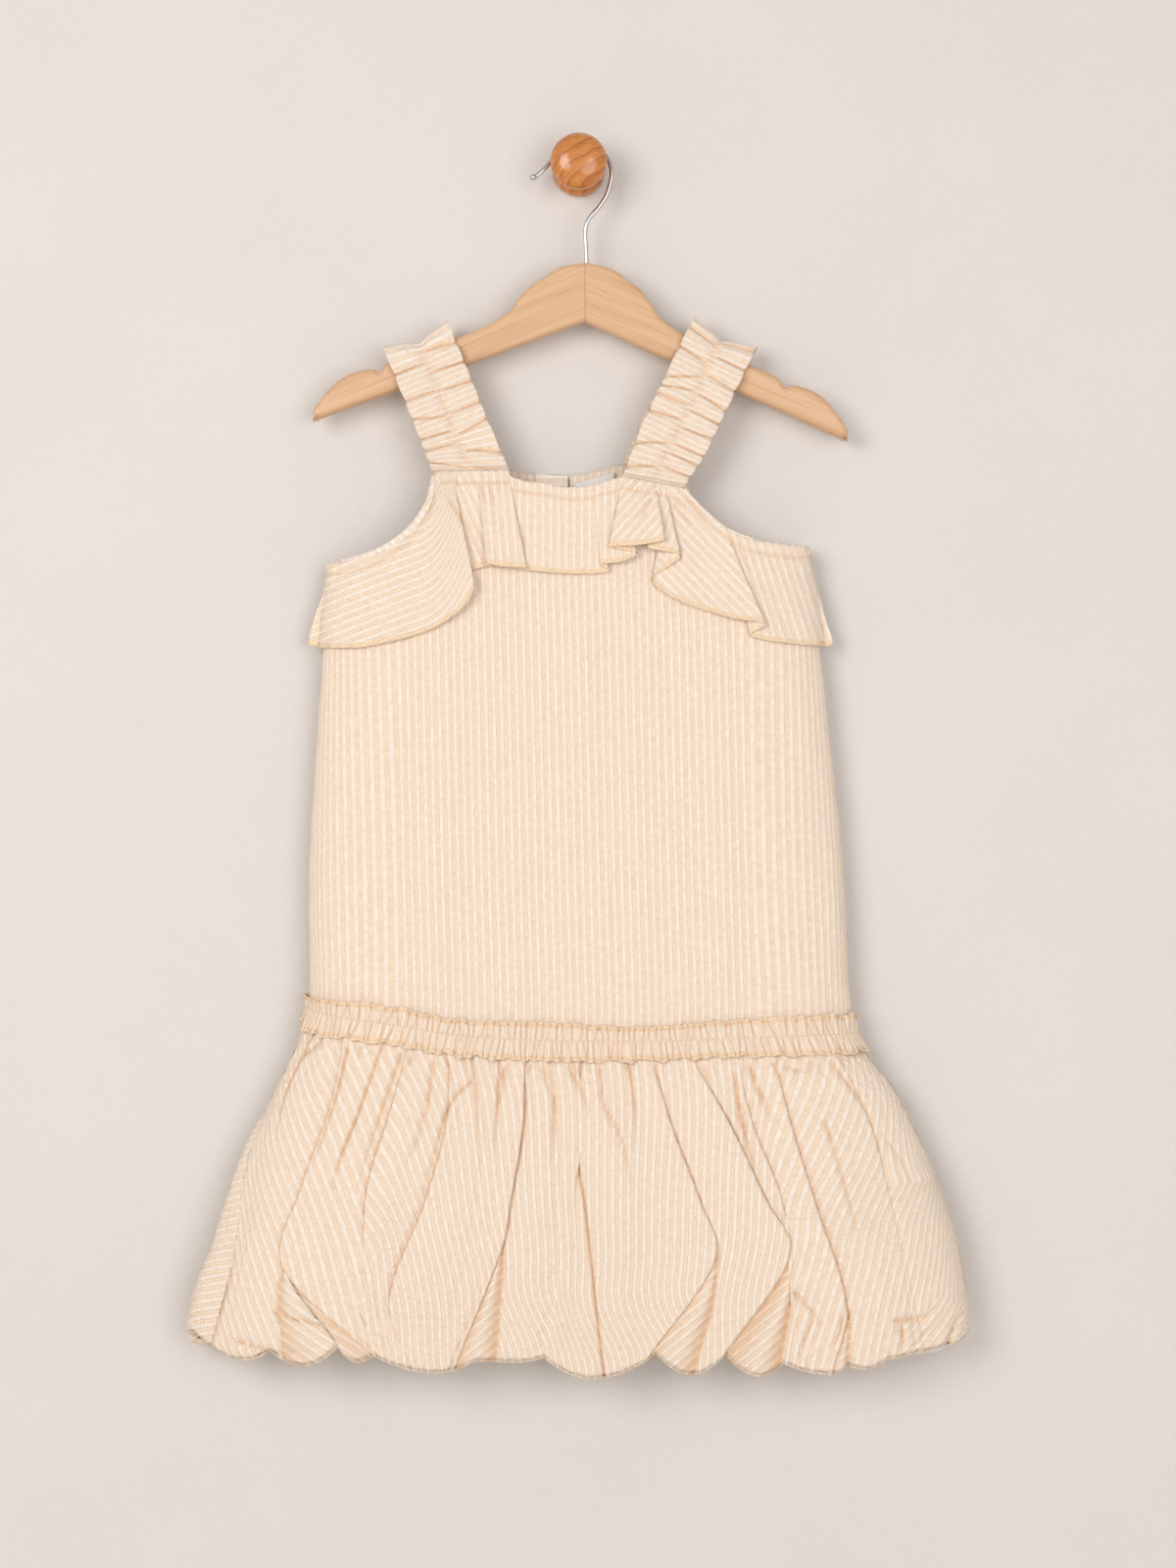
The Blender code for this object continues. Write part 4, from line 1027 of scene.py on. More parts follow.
# %% Creases of the skirt
# Gathers that leave the waist band, and dimples in the bubble at the lower right.
SKIRT_CREASES = (
    # depth, width, start, points of x and drop
    (1.5, 1.3, 1, (-154.3, 527.2), (-165.4, 537.2), (-175.5, 546.1)),
    (1.9, 1.3, 1, (-138.7, 531.6), (-143.1, 552.8), (-154.3, 588.5), (-165.4, 614.2)),
    (0.9, 1.3, 1, (-130.9, 531.6), (-132.0, 539.4)),
    (1.9, 1.3, 1, (-105.9, 534.5), (-117.5, 568.4), (-126.4, 595.2), (-133.1, 622.0)),
    (1.0, 1.3, 1, (-97.4, 536.1), (-108.6, 548.4)),
    (1.8, 1.3, 1, (-86.3, 538.3), (-90.7, 566.2), (-97.4, 588.5), (-111.9, 613.0)),
    (1.0, 1.3, 1, (-77.8, 538.3), (-74.7, 553.9)),
    (1.0, 1.3, 1, (-68.9, 537.2), (-65.7, 548.4)),
    (1.7, 1.3, 1, (-64.0, 550.6), (-76.2, 564.0), (-85.1, 590.7), (-99.6, 639.8)),
    (1.3, 1.3, 1, (-43.9, 543.9), (-47.2, 561.7), (-50.1, 575.1)),
    (1.3, 1.3, 1, (-43.6, 542.4), (-47.6, 552.3), (-49.9, 563.1)),
    (1.3, 1.3, 1, (-27.9, 540.5), (-32.8, 549.3)),
    (1.4, 1.3, 1, (-21.4, 542.4), (-19.0, 553.3), (-12.7, 561.1)),
    (0.9, 1.3, 1, (-14.1, 560.2), (-15.5, 583.8), (-16.1, 613.3)),
    (1.6, 1.3, 1, (-6.2, 542.4), (3.2, 560.2), (6.8, 575.9)),
    (1.6, 1.3, 1, (12.5, 542.4), (15.4, 565.1), (23.7, 579.8), (31.2, 607.4), (32.3, 627.1)),
    (1.1, 1.3, 1, (29.2, 540.5), (31.5, 551.3)),
    (1.2, 1.3, 1, (45.5, 542.4), (46.9, 552.3)),
    (1.4, 1.3, 1, (74.4, 542.4), (78.0, 553.3)),
    (2.4, 1.3, 1, (92.6, 546.4), (96.5, 570.0), (102.0, 593.6), (106.9, 609.4)),
    (1.4, 1.3, 1, (102.0, 543.4), (109.9, 560.2), (122.7, 580.8)),
    (1.2, 1.3, 1, (116.2, 540.5), (124.6, 557.2)),
    (1.5, 1.3, 1, (101.5, 539.7), (109.5, 561.8), (118.0, 577.8)),
    (1.2, 1.3, 1, (123.7, 541.5), (131.6, 545.0), (138.7, 543.2)),
    (1.3, 1.3, 1, (139.1, 538.8), (138.2, 547.7)),
    (0.8, 1.3, 1, (142.2, 537.9), (146.7, 552.1)),
    (1.5, 1.3, 1, (146.3, 575.1), (152.9, 591.1), (159.1, 614.1), (165.3, 638.9), (166.2, 656.6)),
    (1.5, 1.3, 1, (151.1, 539.7), (164.4, 557.4), (181.2, 581.8)),
    (0.9, 1.3, 1, (156.4, 537.6), (166.2, 535.8), (172.4, 534.7)),
    (2.4, 1.4, 1, (187.1, 692.5), (194.5, 691.7), (203.4, 692.0), (210.4, 685.8), (212.2, 680.5)),
    (2.2, 1.3, 1, (191.3, 693.8), (192.7, 702.6), (192.0, 717.7)),
    (1.8, 1.4, 1, (219.3, 709.7), (223.2, 699.1), (229.0, 684.9)),
    (0.9, 1.3, 0.15, (201.6, 705.3), (206.0, 700.9), (212.2, 698.2)),
    (0.8, 1.3, 0.15, (180.3, 582.2), (192.7, 598.1), (201.6, 619.4)),
    (1.7, 1.2, 1, (127.2, 674.3), (140.2, 688.5), (147.3, 702.6)),
    (1.5, 1.1, 1, (139.0, 690.8), (129.6, 714.5)),
    (1.7, 1.2, 1, (156.1, 689.1), (154.9, 697.9), (149.6, 706.2), (129.6, 715.6)),
    (1.5, 1.2, 1, (160.8, 687.3), (156.7, 703.8), (151.4, 727.4)),
    (1.8, 1.3, 1, (-181.0, 687.9), (-165.6, 691.4), (-150.3, 695.0), (-143.2, 701.5)),
    (1.5, 1.3, 1, (-202.8, 705.1), (-182.8, 709.8), (-169.2, 711.5), (-158.6, 711.5)),
)


def skirt_piece(name, node, grid, owner, lean_of, creases, seed):
    laid = turned_hem(grid)
    rows, columns = laid.shape[0] - 1, laid.shape[1] - 1
    turn, drop, lift = laid[..., 0], laid[..., 1], laid[..., 2].copy()
    down = drop - waist_drop(turn)
    fabric = across_cloth(turn[0], drop[0])[None] + 0 * drop
    lift += small_gathers(fabric, down, seed)
    lift += 0.5 * soft_noise(fabric * 1.3, down, 34, seed) * smooth_step(down / 30)
    lift += 0.3 * soft_noise(fabric, down * 1.6, 11, seed + 1) * smooth_step(down / 20)
    plain_points = dress_points(turn, drop, lift)
    added, shade_amount = crease_lines(plain_points[..., 0] / MM, drop, creases)
    points = dress_points(turn, drop, lift + added * smooth_step(down / 4))
    around = across_cloth(turn, drop)
    front_flat, front_bend, _ = panel_widths(True, drop)
    back_flat, back_bend, _ = panel_widths(False, drop)
    past_side = back_flat + back_bend + (turn - 2) * 2 * (front_flat + front_bend)
    around = np.where(turn > 2, past_side, around)
    layer, swing, hand = laid[:, owner, 3], laid[:, owner, 4], laid[:-1, owner, 6][..., None, None]
    layer = np.stack([layer[:-1], layer[1:]], axis=-1)[..., None]
    swung = (swing[:-1] + swing[1:] > 1)[..., None, None, None]
    x, around, low = face_corners(plain_points[..., 0] / MM), face_corners(around), face_corners(drop) - 620
    plain = stripe_cloth(around + 1.7 * layer, low, lean_of(around, layer))
    flat = np.where(swung, stripe_cloth(around, low, -SWING_LEAN * np.sign(hand)), plain)
    if creases:
        # The crumpled corner at the lower right, where the stripes run almost level.
        x, row = x.mean((-1, -2)), low.mean((-1, -2))
        tucked = (x > 192) & (row > 72.5 - 1.2 * np.clip(x - 203, 0, 10))
        corner = tucked & (x > 219.3 + (89.7 - row) * 0.39)
        for zone, lean in ((tucked, -42), (corner, -68)):
            flat = np.where(zone[..., None, None, None], stripe_cloth(around - 190, low - 72, lean), flat)
    # Painted shade of the fold edges and of the creases, for the crease map.
    shadow = np.maximum(laid[..., 5], shade_amount * smooth_step(down / 3))

    piece, _ = lay_cloth(name, columns, rows, lambda *at: points, lambda *at: flat,
                         crease=lambda *at: np.stack([shadow, 0 * shadow], axis=-1))
    finish_piece(piece, node, skirt_cotton)
    return piece, points


LAYER_LEANS = (10, 4, 11, 2, 0, 3, 5, -3, -8, -2)


def front_lean(around, layer):
    """Lean of the stripes: more towards the sides, and a little its own in each fold."""
    return PLAIN_LEAN * around + np.interp(layer, range(len(LAYER_LEANS)), LAYER_LEANS)


def back_lean(around, layer):
    """On the back they lean much more where the panel comes round the left side."""
    return PLAIN_LEAN * around - 46 * smooth_step((around - 120) / 45)


skirt_front, front_points = skirt_piece(
    "skirt_front_cloth", "skirt_front", *skirt_front_grid(), front_lean, SKIRT_CREASES, 13)

# %% [markdown]
# The back has the same flared cut and the same turned hem, but it hides against the
# wall, so its gathers are softer: rounded ridges with shallow valleys between them. At
# the left its edge comes round to the front and shows there, with its stripes leaning
# the other way.

# %% Back of the skirt
def skirt_back_grid():
    """Its points as the front's: turn, drop and lift, then nothing of folds."""
    places, lows = [0.0], [None]
    for share, lift in BACK_FOLDS:
        places += [(places[-1] + share) / 2, share]
        lows += [None, lift]
    places += [(places[-1] + 1) / 2, 1.0]
    lows += [None, None]
    rows = []
    start = waist_drop(1 + np.array(places))
    end = np.array([float(along_rows(BACK_HEM, place)[0]) for place in places])
    for row in range(SKIRT_ROWS + 1):
        share = row / SKIRT_ROWS
        seam_x = float(along_rows(SKIRT_SEAM, share)[0])
        crest = 2.6 * float(along_rows(CREST, share)[0]) / 3.4
        drop = start + (end - start) * share
        seam_turn = 2 + float(turn_at(seam_x, drop[-1])) - 0.0008
        turn = 1.0004 + np.array(places) * (seam_turn - 1.0004)
        lift = [crest if index % 2 else (lows[index] or 0) * float(smooth_step(share / 0.14))
                for index in range(len(places))]
        lift[0] = lift[-1] = float(smooth_step(share / 0.2))
        rows.append(np.column_stack([turn, drop, lift, np.zeros((len(places), 4))]))
    grid = through_ribs(np.array(rows), 9)
    return grid, np.arange(grid.shape[1] - 1)


skirt_back, back_points = skirt_piece(
    "skirt_back_cloth", "skirt_back", *skirt_back_grid(), back_lean, (), 41)

# %% [markdown]
# ## The lining
# The skirt's hem is caught to a plain white cotton lining that hangs inside it. Only a
# sliver shows under the hem. It is one ring of cloth, laid just inside the skirt, with
# its lower edge brought out to the turned hem.

# %% White cotton and the lining
def white_cotton(name, colour):
    material, tree, shader = new_material(name, 0.88)
    shader.inputs["Specular IOR Level"].default_value = 0.25
    shader.inputs["Sheen Weight"].default_value = 0.1
    place = place_on_piece(tree)
    yarn = noise_node(tree, place, 1900.0, 2.0)
    cloudy = noise_node(tree, place, 30.0, 2.0)
    shade = remap(tree, plus(tree, yarn, cloudy), 0.6, 1.4, 0.95, 1.02, False)
    tint = mix_colour(tree, 1.0, colour, combine(tree, shade, shade, shade), "MULTIPLY")
    tree.links.new(tint, shader.inputs["Base Color"])
    add_relief(tree, shader, yarn, 0.0003)
    return material


lining_cotton = white_cotton("white lining cotton", linear(246, 243, 238))
LINING_LIFT = (
    # share of the length, lift
    (0.0, -1.6),
    (0.06, -3.4),
    (0.14, -4.6),
    (0.3, -6.0),
    (0.55, -6.5),
    (0.8, -6.2),
    (1.0, -5.6),
)
LINING_EDGE = (
    # turn, drop
    (0.0, 684.0),
    (0.08, 700.0),
    (0.3, 708.0),
    (0.6, 710.0),
    (0.8, 713.0),
    (0.87, 714.4),
    (0.93, 711.0),
    (1.0, 693.5),
)


def lining_spots(across, down):
    turn = 2 * across
    along = np.where(turn <= 1, turn, 2 - turn)
    start = waist_drop(turn) + 1
    drop = start + (along_rows(LINING_EDGE, along)[0] - start) * down
    waves = 0.8 * np.sin(turn * 61) * smooth_step(down * 3) * (1 - 0.5 * down)
    return turn, drop, along_rows(LINING_LIFT, down)[0] + waves


def lining_place(across, down):
    return dress_points(*lining_spots(across, down))


def lining_cloth(across, down, points):
    turn, drop, _ = lining_spots(across, down)
    return np.stack([turn * 0.42, -drop * MM], axis=-1)


lining, lining_points = lay_cloth("lining", 260, 50, lining_place, lining_cloth, wall=THIN_WALL)
finish_piece(lining, "skirt_lining", lining_cotton)

# %% [markdown]
# ## The ruffle
# One long curved strip runs over the left armhole, along the neck and over the right
# armhole of the front. Cut as part of a ring, it is longer at its free edge than at
# its seam, so it falls in loose folds without bulk at the top. The table gives each
# fold: its place on the seam, its place on the free edge, and how far it stands out.
# The ring's cut also turns the stripes: they stand upright at the neck and run almost
# along the strip at its left end. Where a fold lies over the next, they change at once.

# %% The ruffle's folds
FRILL = (
    # seam_x, hem_x, hem_drop, seam_lift, hem_lift
    (-149, -164.0, 286.5, 1.7, 6),
    (-148.2, -163.0, 289.0, 1.7, 4),
    (-145, -157.0, 290.2, 1.7, 3.2),
    (-138, -147.5, 291.4, 1.7, 2.6),
    (-127, -134.0, 291.6, 1.7, 3.2),
    (-116, -119.5, 289.5, 1.7, 2.6),
    (-106, -106.0, 286.3, 1.7, 3.4),
    (-98, -93.0, 282.3, 1.7, 2.8),
    (-92, -80.5, 276.3, 1.7, 4.2),
    (-88, -70.5, 268.8, 1.7, 5.6),
    (-83, -64.2, 260.5, 1.8, 7.0),
    (-77, -62.2, 254.5, 2.2, 7.6),
    (-73, -73.5, 246.0, 1.8, 2.2),
    (-70, -64.5, 245.0, 1.7, 2.6),
    (-67, -53.0, 242.5, 1.7, 2.4),
    (-63.5, -45.5, 243.5, 1.7, 2.2),
    (-60, -55.0, 241.2, 2.2, 7.2),
    (-53, -44.0, 243.2, 1.9, 6.4),
    (-43, -31.5, 243.8, 1.9, 6.0),
    (-41, -38.0, 244.2, 1.7, 2.8),
    (-33, -18.0, 246.4, 1.7, 3.0),
    (-19, -4.0, 247.3, 1.7, 2.6),
    (-6, 7.0, 247.3, 1.7, 2.4),
    (6, 18.4, 245.6, 1.7, 2.2),
    (10, 13.0, 241.6, 1.7, 4.4),
    (16, 24.0, 240.5, 1.8, 5.2),
    (22, 34.8, 235.5, 1.9, 5.4),
    (27, 18.2, 231.4, 2.0, 8.2),
    (36, 34.0, 230.6, 2.2, 9.6),
    (45.5, 51.4, 227.6, 2.4, 9.8),
    (48, 41.0, 231.5, 1.8, 6.4),
    (51, 61.0, 237.0, 2.0, 5.8),
    (54, 44.0, 251.5, 1.7, 2.2),
    (58, 52.0, 259.0, 1.7, 2.8),
    (64, 63.0, 264.8, 1.7, 3.4),
    (71, 77.0, 269.6, 1.7, 3.0),
    (78.5, 92.0, 274.0, 1.7, 4.0),
    (86, 111.2, 277.8, 2.0, 6.4),
    (91, 102.5, 284.2, 1.7, 2.4),
    (98, 113.5, 287.4, 1.7, 2.8),
    (109, 125.5, 288.8, 1.7, 2.4),
    (121, 137.0, 289.8, 1.7, 2.8),
    (131, 146.5, 290.0, 2.0, 3.4),
    (136.2, 152.5, 289.4, 2.3, 4),
    (137, 153.4, 288.0, 2.4, 6),
)
FRILL_ROWS = 40
FRILL_SPLITS = 8
SEAM_GATHER = 7.5            # from the top edge to the row of topstitches


def outside_body(x, drop):
    left, right = along_rows(SECTIONS, drop)[:2]
    return np.maximum(np.maximum(left - x, x - right), 0)


def frill_grid():
    seam_x, hem_x, hem_drop, seam_lift, hem_lift = np.array(FRILL, float).T
    edge = np.array(FRONT_TOP, float)
    seam_drop = np.interp(seam_x, edge[:, 0], edge[:, 1])
    share = np.linspace(0, 1, FRILL_ROWS + 1)[:, None]
    x = seam_x + (hem_x - seam_x) * share
    drop = seam_drop + (hem_drop - seam_drop) * share
    lift = seam_lift + (hem_lift - seam_lift) * np.sin(share * math.pi / 2)
    lift = np.maximum(lift, outside_body(x, drop))
    return through_ribs(np.stack([turn_at(x, drop), drop, lift], axis=-1), FRILL_SPLITS)


frill = frill_grid()
frill_plain = dress_points(frill[..., 0], frill[..., 1], frill[..., 2])
hem_run = run_length(frill_plain, 1)[-1] / MM
seam_run = run_length(frill_plain, 1)[0] / MM
neck = int(np.argmin(np.abs(frill[0, :, 0] - 0.5)))
from_seam = run_length(frill_plain, 0) / MM
to_hem = from_seam[-1] - from_seam
puckers = np.sin(seam_run * 2 * math.pi / 5.3) + 0.7 * np.sin(seam_run * 2 * math.pi / 3.7 + 1)
gathered = 0.42 * puckers * np.exp(-from_seam / 8) * smooth_step(from_seam / 1.5)
frill[..., 2] += gathered + 0.35 * soft_noise(hem_run + 0 * from_seam, from_seam, 22, 8)
frill[..., 2] += 0.35 * np.sin(hem_run * 2 * math.pi / 9.5) * np.exp(-to_hem / 4)
stitched = np.exp(-((from_seam - SEAM_GATHER) / 0.9) ** 2)
frill[..., 2] += 0.55 * smooth_step((SEAM_GATHER + 1 - from_seam) / 3) - 0.5 * stitched
FRILL_CREASES = (
    # depth, width, start, points of x and drop
    (1.0, 1.1, 1, (-60.0, 193.0), (-56.5, 200.5), (-55.0, 209.0)),
    (0.9, 1.0, 1, (-53.0, 196.0), (-50.5, 203.0), (-48.0, 212.0)),
    (1.2, 1.2, 1, (-78.0, 203.0), (-72.0, 212.0), (-66.5, 224.0), (-64.0, 236.0)),
    (1.0, 1.2, 1, (-86.0, 201.0), (-90.0, 211.0), (-99.0, 222.0)),
    (1.1, 1.2, 1, (43.0, 203.0), (39.0, 211.0), (36.5, 221.0)),
    (1.0, 1.1, 1, (58.0, 206.0), (66.0, 215.0), (73.0, 219.0)),
    (1.0, 1.1, 1, (66.0, 203.0), (75.0, 214.0), (80.0, 223.0)),
    (0.8, 1.1, 1, (90.0, 224.0), (99.0, 238.0), (106.0, 254.0)),
)
flat_frill = dress_points(frill[..., 0], frill[..., 1], frill[..., 2])
added, frill_shade = crease_lines(flat_frill[..., 0] / MM, -flat_frill[..., 2] / MM, FRILL_CREASES)
frill[..., 2] += added
# Painted shade in the ruffle's creases and along the groove of its topstitches.
frill_shade = np.maximum(frill_shade, 0.55 * stitched)


def frill_place(across, down):
    return dress_points(frill[..., 0], frill[..., 1], frill[..., 2])


STRIPE_LEANS = (
    # last rib of a stretch between two folds, lean of its stripes in degrees
    (11, -70), (15, 24), (18, 5), (23, 0), (26, 0), (29, -42), (31, -20), (37, 44), (44, 18),
)


def frill_cloth(across, down, points):
    rib = (np.arange(frill.shape[1] - 1) + 0.5) / FRILL_SPLITS
    lean = np.zeros(len(rib))
    for last, degrees in reversed(STRIPE_LEANS):
        lean[rib < last + 0.5] = degrees
    x, drop = face_corners(points[..., 0] / MM), face_corners(-points[..., 2] / MM)
    rib, lean = rib[None, :, None, None], lean[None, :, None, None]
    lean = np.where(rib < 11.5, lean + 34 * smooth_step((x + 96) / 34), lean + 0 * x)
    return stripe_cloth(x + 100, drop - 262, lean)


def frill_edge(across, down, points):
    return np.stack([hem_run + 0 * to_hem, to_hem], axis=-1) * MM


ruffle, frill_points = lay_cloth(
    "ruffle", frill.shape[1] - 1, FRILL_ROWS, frill_place, frill_cloth, frill_edge,
    lambda *at: np.stack([frill_shade, 0 * frill_shade], axis=-1))
finish_piece(ruffle, "top_ruffle", frill_cotton)

# %% [markdown]
# ## The straps
# Each strap is a wide strip, gathered by one row of stitches along its middle, so both
# edges ruffle. It rises from the front edge, bends over the hanger's arm and comes down
# to the back. The creases of the visible runs are placed one by one, each with a
# distance from the seam at the stitch row and another at the edge. Further up and on
# the back they go on at an uneven spacing.

# %% Creases of the straps
STRAP_HALF_WIDTH = 20.5
STRAP_ROOM = 1.6             # cloth's middle layer off the hanger's face
STRAP_RISE = 3.0             # how far a strap stands over the hanger's edge
STRAP_EDGE_RISE = 4.2
STRAP_LOW = 4.0              # below the hanger's edge, where a strap starts to bend over
STRAP_SPREAD = 30
HANGER_DEPTH = 17
HANGER_THICKNESS = 12
STRAPS = (
    # name, front_corners, back_corners, top_x, top_drop
    ("strap_left", (-87.5, -42.5), (-88.5, -42.5), -94.5, 112.2),
    ("strap_right", (26.5, 63.2), (27, 64), 83.5, 111.2),
)
STRAP_CREASES = {
    # at the stitch row and at the edge; left half, then right half
    "strap_left": (((1.6, 6.3), (17.7, 17.6), (26.5, 28.0), (35.8, 41.3), (52.6, 52.9), (70.4, 70.3)),
                   ((2.3, -3.0), (12.6, 9.4), (23.0, 25.6), (35.9, 35.8), (50.8, 49.6), (63.7, 61.7))),
    "strap_right": (((10.0, 5.5), (25.0, 17.7), (40.9, 38.0), (50.2, 49.8), (69.3, 60.1)),
                    ((11.0, 7.6), (20.1, 18.2), (26.1, 26.2), (36.6, 38.7), (59.7, 56.8), (72.0, 70.1))),
}


def crease_table(given, total, seed):
    """Every crease of one half: its distance at the stitch row and at the edge."""
    chance = np.random.default_rng(seed)
    rows = [(-6.0, -8.0), *given]
    while rows[-1][0] < total + 8:
        step = chance.uniform(9, 19)
        slant = chance.uniform(-3, 3)
        middle = rows[-1][0] + step
        rows.append((middle, max(rows[-1][1] + 5, middle + slant)))
    table = [rows[0]]
    for row in rows[1:]:
        wide = row[0] - table[-1][0]
        if wide > 18:
            halfway = (table[-1][1] + row[1]) / 2
            table.append((table[-1][0] + wide * 0.52, halfway + chance.uniform(-1.5, 1.5)))
        table.append(row)
    return np.array(table), chance.uniform(0.75, 1.2, len(table))


def puffs(distance, wide, creases, heights, most):
    """How far the cloth stands out between the creases of one half."""
    lines = creases[:, 0, None, None] + (creases[:, 1] - creases[:, 0])[:, None, None] * wide ** 1.3
    number = np.clip((lines <= distance).sum(0) - 1, 0, len(creases) - 2)
    low = np.take_along_axis(lines, number[None], 0)[0]
    high = np.take_along_axis(lines, number[None] + 1, 0)[0]
    share = np.clip((distance - low) / np.maximum(high - low, 0.5), 0, 1)
    full = np.clip((high - low) / 13, 0, 1.15) ** 0.6 * heights[number]
    near = np.minimum(share, 1 - share) * (high - low)
    return most * full * (4 * share * (1 - share)) ** 0.6, share, near


# %% Laying a strap
ROW_OF_STITCHES = 2.9        # length of one small gather at the stitches


def strap_piece(name, front_corners, back_corners, top_x, top_drop):
    front_edge, back_edge = np.array(FRONT_TOP, float), np.array(BACK_TOP, float)
    front_ends = np.array([(x, np.interp(x, front_edge[:, 0], front_edge[:, 1])) for x in front_corners])
    back_ends = np.array([(x, np.interp(x, back_edge[:, 0], back_edge[:, 1])) for x in back_corners])
    crossing = np.array((top_x, top_drop))
    face = HANGER_DEPTH + HANGER_THICKNESS / 2 + STRAP_ROOM
    rear = 2 * HANGER_DEPTH - face

    def run_from(ends):
        middle = ends.mean(0)
        reach = np.linalg.norm(crossing - middle)
        return middle, reach - STRAP_LOW, (crossing - middle) / reach

    front_run, back_run = run_from(front_ends), run_from(back_ends)
    arc_length = math.pi * (face - HANGER_DEPTH)
    total = front_run[1] + arc_length + back_run[1]
    seed = 21 if name == "strap_left" else 34
    halves = [crease_table(given, total, seed + i) for i, given in enumerate(STRAP_CREASES[name])]

    def up_strap(run, ends, distance, across, rise):
        middle, _, upward = run
        wide = np.array((-upward[1], upward[0]))
        straight = middle + upward * (distance + rise)[..., None]
        straight = straight + wide * (STRAP_HALF_WIDTH * across)[..., None]
        at_seam = ends[0] + (ends[1] - ends[0]) * ((across + 1) / 2)[..., None]
        at_seam = at_seam + upward * distance[..., None]
        return at_seam + (straight - at_seam) * smooth_step(distance / STRAP_SPREAD)[..., None]

    def place(share_across, share_along):
        side = 2 * share_across - 1
        wide = np.abs(side)
        travelled = total * (1 - share_along)
        heights = [puffs(travelled, wide, *half, 3.0) for half in halves]
        puff, share, near = (np.where(side < 0, one, other) for one, other in zip(*heights))
        ends_fade = smooth_step(travelled / 5) * smooth_step((total - travelled) / 5)
        fine = np.sin(travelled * 2 * math.pi / ROW_OF_STITCHES)
        fine = fine + 0.6 * np.sin(travelled * 2 * math.pi / 4.3 + side * 2)
        lift = (puff - 1.3 * np.exp(-(near / 0.8) ** 2)) * np.minimum(wide / 0.3, 1) ** 0.7
        lift = lift * (0.55 + 0.45 * wide)
        lift = lift + 0.5 * fine * np.exp(-(wide / 0.16) ** 2) - 0.2 * np.exp(-(wide / 0.1) ** 2)
        lift = lift * ends_fade + 0.25 * soft_noise(travelled, side * 20, 12, seed)
        across = side * (1 + (0.055 * (4 * share * (1 - share)) ** 0.7 - 0.02) * wide ** 3)
        on_front = travelled <= front_run[1]
        on_back = travelled >= total - back_run[1]
        seam_front = float(along_rows(SECTIONS, front_ends[0, 1])[2])
        seam_back = float(along_rows(SECTIONS, back_ends[0, 1])[3])
        front_along = np.minimum(travelled, front_run[1])
        front_flat = up_strap(front_run, front_ends, front_along, across, 0 * across)
        back_along = np.minimum(total - travelled, back_run[1])
        back_flat = up_strap(back_run, back_ends, back_along, across, 0 * across)
        front_depth = seam_front + 0.4 + (face - seam_front) * front_along / front_run[1] + lift
        back_depth = seam_back - 0.4 + (rear - seam_back) * back_along / back_run[1] - lift
        angle = np.clip((travelled - front_run[1]) / arc_length, 0, 1) * math.pi
        height = (STRAP_LOW + STRAP_ROOM + STRAP_RISE + STRAP_EDGE_RISE * wide + lift) * np.sin(angle)
        arc_depth = HANGER_DEPTH + (face - HANGER_DEPTH + lift) * np.cos(angle)
        arc_start = up_strap(front_run, front_ends, 0 * angle + front_run[1], across, height)
        arc_end = up_strap(back_run, back_ends, 0 * angle + back_run[1], across, height)
        arc_flat = arc_start + (arc_end - arc_start) * smooth_step(angle / math.pi)[..., None]
        flat = np.where(on_front[..., None], front_flat, np.where(on_back[..., None], back_flat, arc_flat))
        depth = np.where(on_front, front_depth, np.where(on_back, back_depth, arc_depth))
        return np.stack([flat[..., 0], -depth, 0.3 - flat[..., 1]], axis=-1) * MM

    def cloth(share_across, share_along, points):
        travelled = total * (1 - share_along)
        across = (share_across - 0.5) * 2 * STRAP_HALF_WIDTH
        return np.stack([1.3 * travelled, across], axis=-1) * MM

    # Painted shade in the creases, and in the small gathers along the stitches.
    def crease(share_across, share_along, points):
        side, travelled = 2 * share_across - 1, total * (1 - share_along)
        wide = np.abs(side)
        both = [puffs(travelled, wide, *half, 1.0)[2] for half in halves]
        near = np.where(side < 0, both[0], both[1])
        shadow = 1.05 * np.exp(-(near / 0.75) ** 2) * smooth_step(wide / 0.15)
        between = 0.5 - 0.5 * np.sin(travelled * 2 * math.pi / ROW_OF_STITCHES)
        gathered = 0.4 * np.exp(-(wide / 0.13) ** 2) * between
        return np.stack([np.maximum(shadow, gathered), 0 * shadow], axis=-1)

    piece, points = lay_cloth(name + "_cloth", 44, 320, place, cloth, crease=crease)
    finish_piece(piece, name, body_cotton)
    return points


strap_points = [strap_piece(*row) for row in STRAPS]

# %% [markdown]
# ## The waist band
# A strip of the same cotton, gathered by one row of stitches along its middle, is sewn
# over the dropped waist seam. Its raw edges are overlocked and stand off a little, and
# its gathers above the stitches don't line up with those below.

# %% The band, front and back
BAND = (
    # turn, above, below
    (0.0, 7.5, 6.3),
    (0.05, 8.0, 12.5),
    (0.15, 10.5, 11.5),
    (0.3, 9.5, 12.0),
    (0.45, 11.0, 12.0),
    (0.6, 8.5, 11.5),
    (0.75, 11.0, 10.5),
    (0.9, 12.0, 11.5),
    (1.0, 10.7, 10.4),
)


